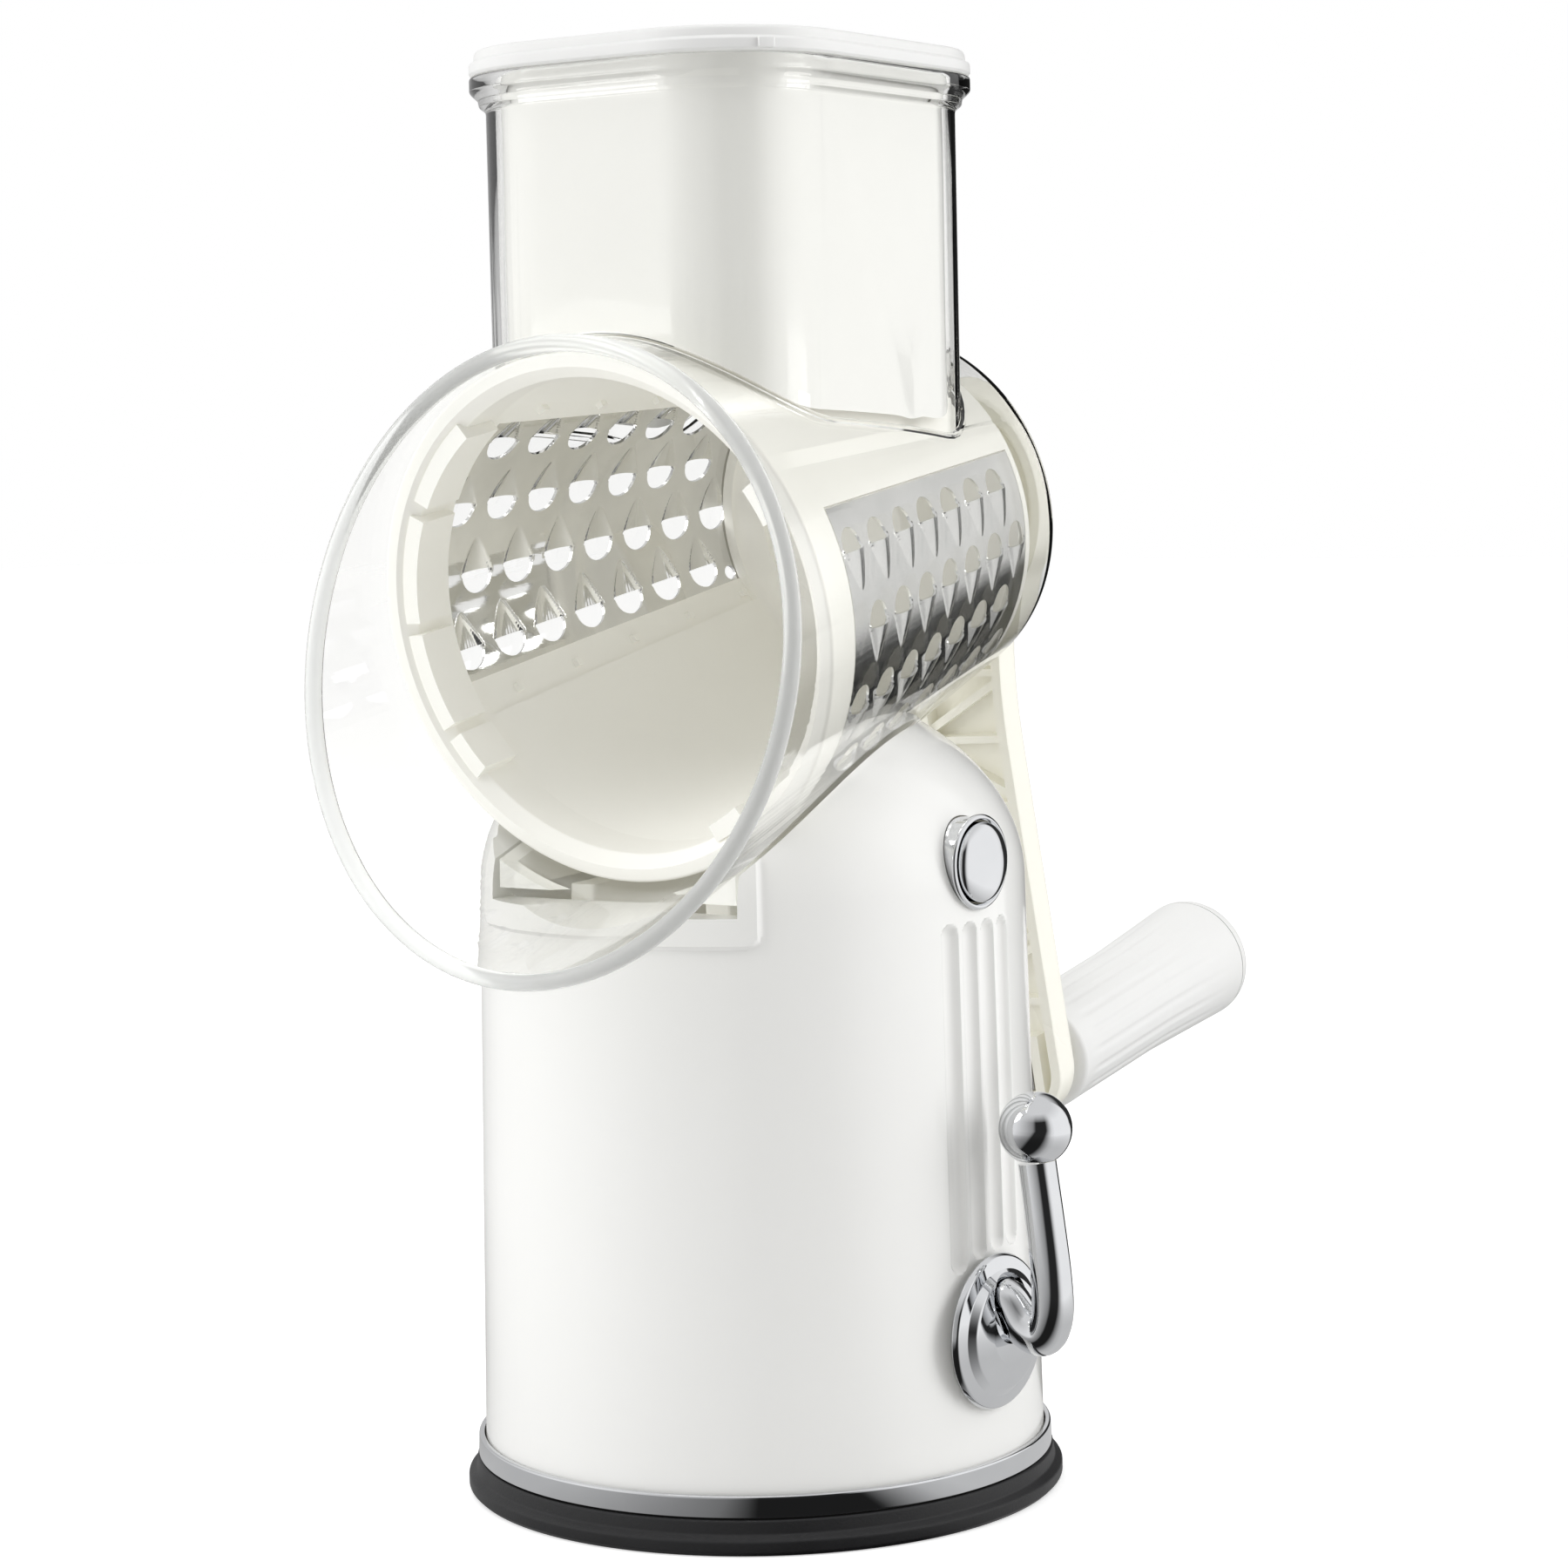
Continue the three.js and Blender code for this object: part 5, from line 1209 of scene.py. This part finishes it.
# ---------------------------------------------------------------- crank
@dataclass
class Crank:
    """Open-channel arm with ribs, hub cap, and the fluted knob on its pin."""

    front: float = 70.0 * MM
    depth: float = 6.6 * MM
    web: float = 2.5 * MM
    wall: float = 2.4 * MM
    hub: float = 24.0 * MM
    end: float = 11.8 * MM
    waist: float = 10.9 * MM
    boss_front: float = 62.0 * MM
    boss: float = 11.5 * MM
    reach: float = 128.4 * MM
    collar: float = 1.8 * MM
    collar_radius: float = 9.4 * MM
    knob_length: float = 82.0 * MM
    knob: float = 12.6 * MM
    knob_end: float = 14.2 * MM
    knob_flutes: int = 18
    flute_depth: float = 0.30 * MM
    cap_depth: float = 8.0 * MM
    pin: float = 4.3 * MM
    square_half: float = 4.5 * MM
    rib_half: float = 0.8 * MM

    @property
    def rear(self) -> float:
        """Station of the arm's rear face."""
        return self.front + self.depth

    @property
    def at_knob(self) -> Matrix:
        """The place of the pieces that are turned about the knob's pin."""
        return CRANK_PLACE @ Matrix.Translation((0, self.reach, 0))

    def outline(self, inset: float) -> Array:
        """The arm's outline, (across, down): a hub circle, two hollow sides, a round end."""
        hub, end = self.hub - inset, self.end - inset
        a = np.linspace(-0.25 * math.pi, 1.25 * math.pi, 60)
        top = np.stack([hub * np.cos(a), hub * np.sin(a)], -1)
        t = np.linspace(0.0, 1.0, 24)[:, None]
        knee = np.array([inset - self.waist, -self.hub * 1.2])
        waist = np.array([inset - self.waist, -self.reach * 0.42])
        left = (1 - t) ** 2 * top[-1] + 2 * t * (1 - t) * knee + t * t * waist
        b = np.linspace(math.pi, 2 * math.pi, 40)
        bottom = np.stack([end * np.cos(b), end * np.sin(b) - self.reach], -1)
        right = left[::-1] * (-1, 1)
        loop = np.vstack([top, left[1:], bottom, right[:-1]])
        return loop * (1, -1)

    def ribs(self) -> list[bpy.types.Object]:
        """The zigzag and the cross ribs that stiffen the channel."""
        out = []
        top, bottom, count = self.hub, self.reach - self.end - 4 * MM, 6
        pitch, wide = (bottom - top) / count, self.end + 1.5 * MM
        for i in range(count):
            side = 1 if i % 2 == 0 else -1
            start = np.array([-side * wide, top + i * pitch])
            end = np.array([side * wide, top + (i + 1) * pitch])
            square = np.array([end[1] - start[1], start[0] - end[0]])
            square *= 0.85 * MM / np.linalg.norm(square)
            bar = np.array([start + square, end + square, end - square, start - square])
            low, high = end[1] - self.rib_half, end[1] + self.rib_half
            cross = np.array([[-wide, low], [wide, low], [wide, high], [-wide, high]])
            for loop in (bar, cross):
                rib = slab("rib", loop, self.front + MM, self.rear - MM, CRANK_PLACE)
                limit = slab("rib_limit", self.outline(0.8 * MM), self.front,
                             self.rear, CRANK_PLACE)
                out.append(combined(rib, Cut.KEEP, limit))
        return out

    def arm(self) -> bpy.types.Object:
        """The arm with its pocket, ribs, hub boss and pin boss."""
        front, rear = self.front, self.rear
        arm = slab("crank", self.outline(0.0), front, rear, CRANK_PLACE, edge=1.3 * MM)
        arm = combined(arm, Cut.REMOVE, slab("pocket", self.outline(self.wall), front - MM,
                                             rear - self.web, CRANK_PLACE))
        boss = rounded([(0, self.boss_front), (self.boss, self.boss_front, 0.6 * MM),
                        (self.boss, rear - MM), (0, rear - MM)], 4)
        ring = [(self.hub - 8 * MM, front + 0.4 * MM), (self.hub - 6 * MM, front + 0.4 * MM),
                (self.hub - 6 * MM, rear - MM), (self.hub - 8 * MM, rear - MM)]
        pin_boss = block("pin_boss", (-7.2 * MM, self.reach - 8 * MM, front),
                         (7.2 * MM, self.reach + 7 * MM, rear - MM), CRANK_PLACE)
        arm = combined(arm, Cut.JOIN, *self.ribs(), turned("hub_boss", boss, CRANK_PLACE,
                                                           columns=72),
                       turned("hub_ring", np.array(ring), CRANK_PLACE, ring=True, columns=96),
                       pin_boss)
        top = rear + self.collar
        collar = rounded([(0, rear - MM), (self.collar_radius, rear - MM),
                          (self.collar_radius, top, 0.5 * MM), (0, top)], 4)
        arm = combined(arm, Cut.JOIN, turned("pin_collar", collar, self.at_knob, columns=72))
        half = self.square_half
        return combined(
            arm, Cut.REMOVE,
            block("square_hole", (-half, -half, self.boss_front - MM), (half, half, rear - 3 * MM),
                  CRANK_PLACE),
            block("pin_seat", (-4.9 * MM, self.reach - 5 * MM, front - MM),
                  (4.9 * MM, self.reach + 5 * MM, front + 4 * MM), CRANK_PLACE),
            cylinder("screw_hole", 2.4 * MM, rear - 5 * MM, rear + MM, CRANK_PLACE, 24),
            cylinder("pin_hole", self.pin, front, top + MM, self.at_knob, 32))

    def grip(self) -> bpy.types.Object:
        """The fluted grip: a turned tube whose outside dips in shallow grooves."""
        start = self.rear + self.collar + MM
        end = start + self.knob_length - self.cap_depth
        outside = spaced(rounded([
            (self.knob - 1.9 * MM, start), (self.knob, start + 1.2 * MM, 1.4 * MM),
            (self.knob + 0.2 * MM, start + self.knob_length * 0.5, 20 * MM),
            (self.knob_end, end)], 8), 1.5 * MM)
        inside = np.array([(9 * MM, end), (9 * MM, end - 8 * MM), (self.pin, end - 8 * MM),
                           (self.pin, start)])
        grid = turned_grid(np.vstack([outside, inside]), 12 * self.knob_flutes)
        height = grid[..., 2]
        angle = np.arctan2(grid[..., 1], grid[..., 0])
        count = len(outside)
        wave = np.cos(self.knob_flutes * angle)
        groove = self.flute_depth * smooth(0.2, 1.0, wave)
        ends = (smooth(start + 4 * MM, start + 9 * MM, height)
                * (1.0 - smooth(end - 30 * MM, end - 3 * MM, height)))
        depth = np.where(np.arange(len(grid))[:, None] < count, groove * ends, 0.0)
        radius = np.hypot(grid[..., 0], grid[..., 1])
        grid[..., :2] *= ((radius - depth) / radius)[..., None]
        return surface("fluted_grip", grid, self.at_knob, wrap_rows=True)

    def knob_cap(self) -> bpy.types.Object:
        """The domed end of the knob, an ellipse over its rim."""
        end = self.rear + self.collar + MM + self.knob_length
        rim = end - self.cap_depth + 0.3 * MM
        rise = self.cap_depth - 0.9 * MM
        swing = np.linspace(0.0, math.pi / 2, 16)[1:]
        dome = [(self.knob_end * math.cos(t) ** 0.85, rim + 0.6 * MM + rise * math.sin(t))
                for t in swing[:-1]] + [(0.0, end)]
        profile = [(0, rim - 3 * MM), (8.7 * MM, rim - 3 * MM), (8.7 * MM, rim),
                   (self.knob_end, rim), (self.knob_end, rim + 0.6 * MM), *dome]
        return turned("knob_end", np.array(profile), self.at_knob)

    def hub_cap(self) -> bpy.types.Object:
        """The snap-in cap over the arm's screw."""
        rear = self.rear
        profile = rounded([(0, rear + 3.4 * MM), (6.4 * MM, rear + 3.4 * MM),
                           (6.4 * MM, rear + 0.3 * MM), (13 * MM, rear + 0.3 * MM, 0.2 * MM),
                           (13 * MM, rear + 2.4 * MM, 1.2 * MM), (9 * MM, rear + 5.2 * MM, 3 * MM),
                           (0, rear + 6 * MM)], 6)
        return turned("hub_cover", profile, CRANK_PLACE, columns=120)

    def build(self, shop: Workshop) -> None:
        """Builds and finishes the crank and its knob."""
        shop.fit(self.arm(), Body.CRANK, Slot.WHITE, "crank_arm", degrees=28,
                 finish="white plastic with painted warm glow")
        shop.fit(self.hub_cap(), Body.CRANK, Slot.WHITE, "hub_cap")
        shop.fit(self.grip(), Body.KNOB, Slot.WHITE, "knob_grip", degrees=50,
                 finish="satin white with painted shade")
        shop.fit(self.knob_cap(), Body.KNOB, Slot.WHITE, "knob_cap",
                 finish="satin white with painted shade")
        for node in ("drive_shaft", "thrust_washer", "knob_pin", "arm_screw"):
            shop.fit(refined(node, f"{node}_eased", 0.25 * MM), Body.CRANK, Slot.STEEL, node)


# ---------------------------------------------------------------- pusher
@dataclass
class Pusher:
    """Hollow white pusher with its two-tier lid."""

    clearance: float = 1.4 * MM
    wall: float = 2.2 * MM
    gap: float = 0.3 * MM
    lid: float = 5.0 * MM
    nub_angle: float = math.radians(53.0)

    @property
    def grow(self) -> float:
        """Offset of the pusher's outside from the chute's outside."""
        return -CHUTE.wall - self.clearance

    def body(self) -> bpy.types.Object:
        """Hollow body whose foot follows the drum."""
        lid_bottom = CHUTE.top + self.gap
        outside = CHUTE.stack("pusher_hollow", [(self.grow, AXIS_HEIGHT + 10 * MM),
                                                (self.grow, lid_bottom + 2 * MM)])
        inside = CHUTE.stack("pusher_inside", [(self.grow - self.wall, AXIS_HEIGHT + 20 * MM),
                                               (self.grow - self.wall, lid_bottom + 3 * MM)])
        offset = 0.9 * MM - BARREL.wall
        inside = combined(inside, Cut.REMOVE,
                          BARREL.cone("foot_wall", offset + self.wall, -90 * MM, 90 * MM))
        return combined(outside, Cut.REMOVE, inside,
                        BARREL.cone("drum_space", offset, -90 * MM, 90 * MM))

    def cover(self) -> bpy.types.Object:
        """The lid: a rim tier, an upper tier, a small nub, and a locating wall below."""
        low = CHUTE.top + self.gap
        high, rim = low + self.lid, CHUTE.rim
        tiers = rounded([
            (rim - 0.5 * MM, low), (rim, low + 0.5 * MM, 0.4 * MM), (rim, low + 2.3 * MM, 0.5 * MM),
            (rim - 0.9 * MM, low + 2.8 * MM, 0.3 * MM), (rim - 1.1 * MM, high - 0.2 * MM, 1.3 * MM),
            (rim - 5 * MM, high)], 5)
        cover = CHUTE.stack("lid", [tuple(p) for p in tiers])
        groove = CHUTE.stack("groove", [(self.grow + self.gap, low - MM),
                                        (self.grow + self.gap, low + 2.3 * MM)])
        cover = combined(cover, Cut.REMOVE, groove)
        inner = self.grow - self.wall
        locator = CHUTE.stack("locator", [(inner - self.gap, low - 5 * MM),
                                          (inner - self.gap, high - MM)])
        hollow = CHUTE.stack("locator_hollow", [(inner - self.wall, low - 6 * MM),
                                                (inner - self.wall, low + 2.6 * MM)])
        locator = combined(locator, Cut.REMOVE, hollow)
        corner = CHUTE.corner + rim
        turn = (Matrix.Translation((CHUTE.half_x - CHUTE.corner,
                                    CHUTE.centre_y - CHUTE.half_y + CHUTE.corner, 0))
                @ Matrix.Rotation(self.nub_angle, 4, "Z"))
        nub = slab("nub", outline_rectangle(1.6 * MM, 1.2 * MM, 0.4 * MM,
                                            (0.0, -corner + 0.5 * MM), 4),
                   low + 0.4 * MM, low + 2.4 * MM, turn, edge=0.3 * MM)
        return combined(cover, Cut.JOIN, locator, nub)

    def build(self, shop: Workshop) -> None:
        """Builds and finishes the pusher and its lid."""
        shop.fit(self.body(), Body.PUSHER, Slot.WHITE, "pusher_body", degrees=30)
        shop.fit(self.cover(), Body.PUSHER, Slot.WHITE, "pusher_lid", degrees=30,
                 finish="satin white with painted shade")


# ---------------------------------------------------------------- controls
@dataclass
class Controls:
    """Chrome release button in its bezel, and the suction lever with its ball."""

    button: float = 7.7 * MM
    bezel: float = 9.2 * MM
    stand: float = 1.4 * MM
    dome: float = 2.2 * MM
    face: float = 54.34 * MM
    hub: float = 15.2 * MM
    rod: float = 4.1 * MM
    ball: float = 7.1 * MM
    lever_reach: float = 40.4 * MM
    lever_face: float = 55.89 * MM
    lever_gap: float = 0.5 * MM
    ball_out: float = 10.3 * MM

    @property
    def lever_back(self) -> float:
        """How far out the disc's back lies."""
        return self.lever_face + self.lever_gap

    def bezel_ring(self) -> bpy.types.Object:
        """The bezel: a stepped ring with a rolled rim."""
        r, face = self.button, self.face
        out = face + 1.3 * MM
        profile = rounded([
            (r + 0.4 * MM, face - 3.9 * MM), (r + 0.9 * MM, face - 3.9 * MM),
            (r + 0.9 * MM, face + 0.3 * MM), (self.bezel, face + 0.3 * MM, 0.15 * MM),
            (self.bezel, out - 0.4 * MM, 0.8 * MM), (r + 0.8 * MM, out, 0.6 * MM),
            (r + 0.4 * MM, out - 0.5 * MM)], 6, closed=True)
        return turned("bezel", profile, on_side(middle_height("release_button")), ring=True,
                      columns=120)

    def push_button(self) -> bpy.types.Object:
        """The button: a short cylinder under a flat dome (a quarter ellipse)."""
        base = self.face + self.stand
        swing = np.linspace(0.0, math.pi / 2, 20)
        dome = [(self.button * math.cos(t), base + self.dome * math.sin(t)) for t in swing]
        dome[-1] = (0.0, base + self.dome)
        profile = np.array([(0, self.face - 4 * MM), (self.button, self.face - 4 * MM), *dome])
        return turned("push_button", profile, on_side(middle_height("release_button")),
                      columns=120)

    def escutcheon(self) -> bpy.types.Object:
        """The lever's domed disc with the recess that the rod grows out of."""
        r, back = self.hub, self.lever_back
        profile = rounded([
            (0, back), (r - 0.4 * MM, back), (r, back + 0.6 * MM, 0.3 * MM),
            (r - 0.5 * MM, back + 1.7 * MM, 0.9 * MM), (r - 2.9 * MM, back + 2.2 * MM, 0.5 * MM),
            (r - 4.4 * MM, back + 3.5 * MM, 1.3 * MM), (r - 9 * MM, back + 4.5 * MM, 3 * MM),
            (0, back + 4.8 * MM)], 6)
        disc = turned("escutcheon", profile, on_side(LEVER_JOINT["pos_m"][2]), columns=140)
        for name, low, wide, rise in (("recess", 1.0, 6.2, 6.4), ("groove", 1.2, 6.8, 4.0)):
            cone = np.array([[0, low], [5, low], [wide, 8], [0, 8]]) * MM
            cone[:, 1] += back
            place = on_side(LEVER_JOINT["pos_m"][2] + rise * MM)
            disc = combined(disc, Cut.REMOVE, turned(name, cone, place, columns=64))
        return disc

    def lever_rod(self) -> bpy.types.Object:
        """The J-shaped rod: a smooth curve from the disc out, down, and up to the ball."""
        back = self.lever_back
        ball_x = back + self.ball_out
        top = (ball_x + 0.3 * MM, self.lever_reach - self.ball + 0.6 * MM)
        points = [(back + x * MM, z * MM) for x, z in (
            (1.4, 6.4), (3.4, 6.3), (7.2, 1.8), (11.4, 0.6), (13.4, 4.6), (13.4, 12.0),
            (12.0, 24.0))] + [top]
        path = spline([(x, 0.0, z + LEVER_JOINT["pos_m"][2]) for x, z in points], 90)
        neck = 1.0 - 0.1 * smooth(0.5, 1.0, np.linspace(0, 1, 90))
        return swept("lever_rod_curve", path, self.rod * neck, 36, place=CONTROLS)

    def lever_ball(self) -> bpy.types.Object:
        """The ball, with a flat where the rod enters."""
        ball_x = self.lever_back + self.ball_out
        centre = LEVER_JOINT["pos_m"][2] + self.lever_reach
        swing = np.linspace(-math.pi / 2, math.pi / 2, 64)
        profile = np.stack([self.ball * np.cos(swing), self.ball * np.sin(swing)], -1)
        profile[[0, -1], 0] = 0.0
        place = CONTROLS @ Matrix.Translation((ball_x, 0, centre))
        ball = turned("ball", profile, place, columns=96)
        return combined(ball, Cut.REMOVE,
                        cylinder("neck_hole", 5.3 * MM, -12 * MM, -5.9 * MM, place))

    def build(self, shop: Workshop) -> None:
        """Builds and finishes the button and the lever."""
        shop.fit(self.bezel_ring(), Body.STAND, Slot.CHROME, "button_bezel")
        shop.fit(self.push_button(), Body.BUTTON, Slot.CHROME, "release_button", degrees=40)
        shop.fit(self.escutcheon(), Body.LEVER, Slot.CHROME, "lever_hub", degrees=38)
        shop.fit(self.lever_rod(), Body.LEVER, Slot.CHROME, "lever_rod")
        shop.fit(self.lever_ball(), Body.LEVER, Slot.CHROME, "lever_ball", degrees=40)


# ---------------------------------------------------------------- studio
@dataclass
class Camera:
    """The camera: where it stands, where it looks, its roll and its lens."""

    azimuth: float = math.radians(34.23)
    elevation: float = math.radians(4.86)
    roll: float = math.radians(-1.28)
    place: tuple = (0.42774, -0.61678, 0.20389)
    lens: float = 86.57

    def build(self) -> None:
        """Makes the camera from its three axes: right, up and backwards."""
        sin_a, cos_a = math.sin(self.azimuth), math.cos(self.azimuth)
        sin_e, cos_e = math.sin(self.elevation), math.cos(self.elevation)
        back = Vector((sin_a * cos_e, -cos_a * cos_e, sin_e))
        right = Vector((cos_a, sin_a, 0.0))
        up = back.cross(right)
        turned_right = right * math.cos(self.roll) + up * math.sin(self.roll)
        turned_up = up * math.cos(self.roll) - right * math.sin(self.roll)
        data = bpy.data.cameras.new("camera")
        data.lens, data.sensor_width = self.lens, 36.0
        data.clip_start, data.clip_end = 0.02, 60.0
        camera = bpy.data.objects.new("camera", data)
        axes = Matrix((turned_right, turned_up, back)).transposed().to_4x4()
        camera.matrix_world = Matrix.Translation(self.place) @ axes
        bpy.context.scene.collection.objects.link(camera)
        bpy.context.scene.camera = camera


@dataclass
class Lamp:
    """One soft box: direction and distance of its middle, its size and its power."""

    label: str
    azimuth: float
    elevation: float
    distance: float
    size: tuple
    power: float

    def build(self) -> None:
        """Makes the soft box, facing the middle of the grater."""
        a, e = math.radians(self.azimuth), math.radians(self.elevation)
        away = Vector((math.sin(a) * math.cos(e), -math.cos(a) * math.cos(e), math.sin(e)))
        data = bpy.data.lights.new(self.label, "AREA")
        data.shape, data.size, data.size_y = "RECTANGLE", *self.size
        data.energy = self.power
        lamp = bpy.data.objects.new(self.label, data)
        lamp.location = Vector((0, 0, 0.15)) + away * self.distance
        lamp.rotation_euler = away.to_track_quat("Z", "Y").to_euler()
        lamp.visible_glossy = False
        bpy.context.scene.collection.objects.link(lamp)


@dataclass
class Studio:
    """Pale floor, white surroundings with dark upright panels, and soft boxes."""

    ambient: float = 0.735
    levels: tuple = ((-85.0, 1.0), (-60.0, 1.2), (-34.0, 1.15), (0.0, 0.7), (22.0, 0.4),
                     (32.0, 0.03), (64.0, 0.03), (82.0, 1.1), (92.0, 1.3), (155.0, 1.3),
                     (162.6, 1.1), (163.4, 0.04), (200.0, 0.04), (206.0, 1.0),
                     (214.0, 0.75), (250.0, 0.75))
    floor_glow: float = 0.47
    # floor_near and floor_far are (distance, level) of the painted shade in the floor's reflections.
    floor_near: tuple = (0.14, 0.60)
    floor_far: tuple = (0.36, 1.0)
    fade: tuple = (0.45, 0.8)
    floor_half: float = 6.0
    lamps: tuple = (
        Lamp("key", -42.0, 24.0, 1.5, (0.8, 1.2), 11.0),
        Lamp("side", 112.0, 22.0, 1.5, (0.8, 1.2), 10.0),
        Lamp("top", 30.0, 78.0, 1.4, (1.2, 1.2), 4.0),
    )

    def panel_group(self) -> bpy.types.NodeTree:
        """Builds the group that gives the brightness of the surroundings by direction.

        The level is white, with dark upright panels placed by the angle round the grater,
        where 0 degrees is the drum's side and 90 the controls' side. The level runs straight
        from one given angle to the next, and the panels fade out overhead.
        """
        tree, source, sink = new_group("studio panels", [("Vector", "NodeSocketVector", None)],
                                       [("Level", "NodeSocketColor")])
        link = tree.links.new
        round_it = added(tree, "ShaderNodeTexGradient", gradient_type="RADIAL")
        ramp = added(tree, "ShaderNodeValToRGB")
        points = ramp.color_ramp.elements
        points[0].color = points[1].color = (1.0, 1.0, 1.0, 1.0)
        for angle, level in self.levels:
            points.new((0.25 + angle / 360.0) % 1.0).color = (level, level, level, 1.0)
        split = added(tree, "ShaderNodeSeparateXYZ")
        overhead = added(tree, "ShaderNodeMapRange", From_Min=self.fade[0],
                         From_Max=self.fade[1])
        factor, level, _, result = colour_mix(tree, (1.0,) * 3, (1.0,) * 3)
        link(source.outputs["Vector"], round_it.inputs["Vector"])
        link(round_it.outputs["Fac"], ramp.inputs["Fac"])
        link(source.outputs["Vector"], split.inputs[0])
        link(split.outputs["Z"], overhead.inputs["Value"])
        link(overhead.outputs["Result"], factor)
        link(ramp.outputs["Color"], level)
        link(result, sink.inputs["Level"])
        return tree

    @staticmethod
    def plainly_seen(tree: bpy.types.NodeTree) -> tuple:
        """Tells rays that see the surroundings straight or through clear plastic.

        Returns:
            Two sockets: 1 for such a ray, and 1 for a ray that was mirrored on its way.
        """
        link = tree.links.new
        rays = added(tree, "ShaderNodeLightPath")
        either = added(tree, "ShaderNodeMath", operation="MAXIMUM")
        mirrored = added(tree, "ShaderNodeMath", operation="GREATER_THAN")
        mirrored.inputs[1].default_value = 0.5
        plain = added(tree, "ShaderNodeMath", operation="SUBTRACT", use_clamp=True)
        link(rays.outputs["Is Camera Ray"], either.inputs[0])
        link(rays.outputs["Is Transmission Ray"], either.inputs[1])
        link(rays.outputs["Glossy Depth"], mirrored.inputs[0])
        link(either.outputs[0], plain.inputs[0])
        link(mirrored.outputs[0], plain.inputs[1])
        return plain.outputs[0], mirrored.outputs[0]

    def world(self, panels: bpy.types.NodeTree) -> None:
        """Builds the surroundings: plain white to the camera and through clear plastic."""
        world = bpy.data.worlds.new("studio")
        bpy.context.scene.world = world
        tree = cleared(world)
        link = tree.links.new
        out = added(tree, "ShaderNodeOutputWorld")
        where = added(tree, "ShaderNodeTexCoord")
        group = added(tree, "ShaderNodeGroup", node_tree=panels)
        scaled = added(tree, "ShaderNodeBackground", Strength=self.ambient)
        plain = added(tree, "ShaderNodeBackground", Color=(1.0, 1.0, 1.0, 1.0), Strength=1.0)
        seen, _ = self.plainly_seen(tree)
        link(where.outputs["Generated"], group.inputs["Vector"])
        link(group.outputs["Level"], scaled.inputs["Color"])
        mixed_surface(tree, out, seen, scaled, plain)

    def floor(self, panels: bpy.types.NodeTree) -> None:
        """A wide pale floor.

        It glows a little for the camera and through clear plastic, so that it is white but
        keeps a shadow. In reflections it is painted: an emission that carries the dark panels
        on down to the stand, with painted shade that makes it darker close to it.
        """
        material = bpy.data.materials.new("pale floor")
        tree = cleared(material)
        link = tree.links.new
        out = added(tree, "ShaderNodeOutputMaterial")
        shader = added(tree, "ShaderNodeBsdfPrincipled", Base_Color=(0.8, 0.8, 0.8, 1.0),
                       Roughness=0.9, Emission_Color=(1.0, 1.0, 1.0, 1.0))
        glow = added(tree, "ShaderNodeMapRange", To_Min=0.0, To_Max=self.floor_glow)
        where = added(tree, "ShaderNodeTexCoord")
        group = added(tree, "ShaderNodeGroup", node_tree=panels)
        away = added(tree, "ShaderNodeVectorMath", operation="LENGTH")
        # Painted shade: in reflections the floor is an emission, darker close to the stand.
        near = added(tree, "ShaderNodeMapRange", From_Min=self.floor_near[0],
                     From_Max=self.floor_far[0], To_Min=self.floor_near[1] * self.ambient,
                     To_Max=self.floor_far[1] * self.ambient)
        mirror = added(tree, "ShaderNodeEmission")
        seen, mirrored = self.plainly_seen(tree)
        link(seen, glow.inputs["Value"])
        link(glow.outputs["Result"], shader.inputs["Emission Strength"])
        link(where.outputs["Object"], group.inputs["Vector"])
        link(where.outputs["Object"], away.inputs[0])
        link(away.outputs["Value"], near.inputs["Value"])
        link(group.outputs["Level"], mirror.inputs["Color"])
        link(near.outputs["Result"], mirror.inputs["Strength"])
        mixed_surface(tree, out, mirrored, shader, mirror)
        side = np.linspace(-self.floor_half, self.floor_half, 9)
        x, y = np.meshgrid(side, side, indexing="ij")
        grid = np.stack([x, y, np.zeros_like(x)], -1)
        floor = mesh_object("floor", grid.reshape(-1, 3), grid_faces(9, 9, False, False), False)
        floor.data.materials.append(material)

    def build(self) -> None:
        """Builds the surroundings, the floor and the lamps."""
        panels = self.panel_group()
        self.world(panels)
        self.floor(panels)
        for lamp in self.lamps:
            lamp.build()


def main() -> None:
    """Builds the studio and every sub-assembly."""
    logging.basicConfig(level=logging.INFO, format="%(name)s %(message)s")
    scene = bpy.context.scene
    scene.view_settings.view_transform = "Standard"
    Camera().build()
    Studio().build()
    shop = Workshop()
    for part in (Stand(), Housing(), Drum(), Crank(), Pusher(), Controls()):
        LOG.info("building %s", type(part).__name__)
        part.build(shop)
    shop.dress_the_rest()


if __name__ == "__main__":
    main()
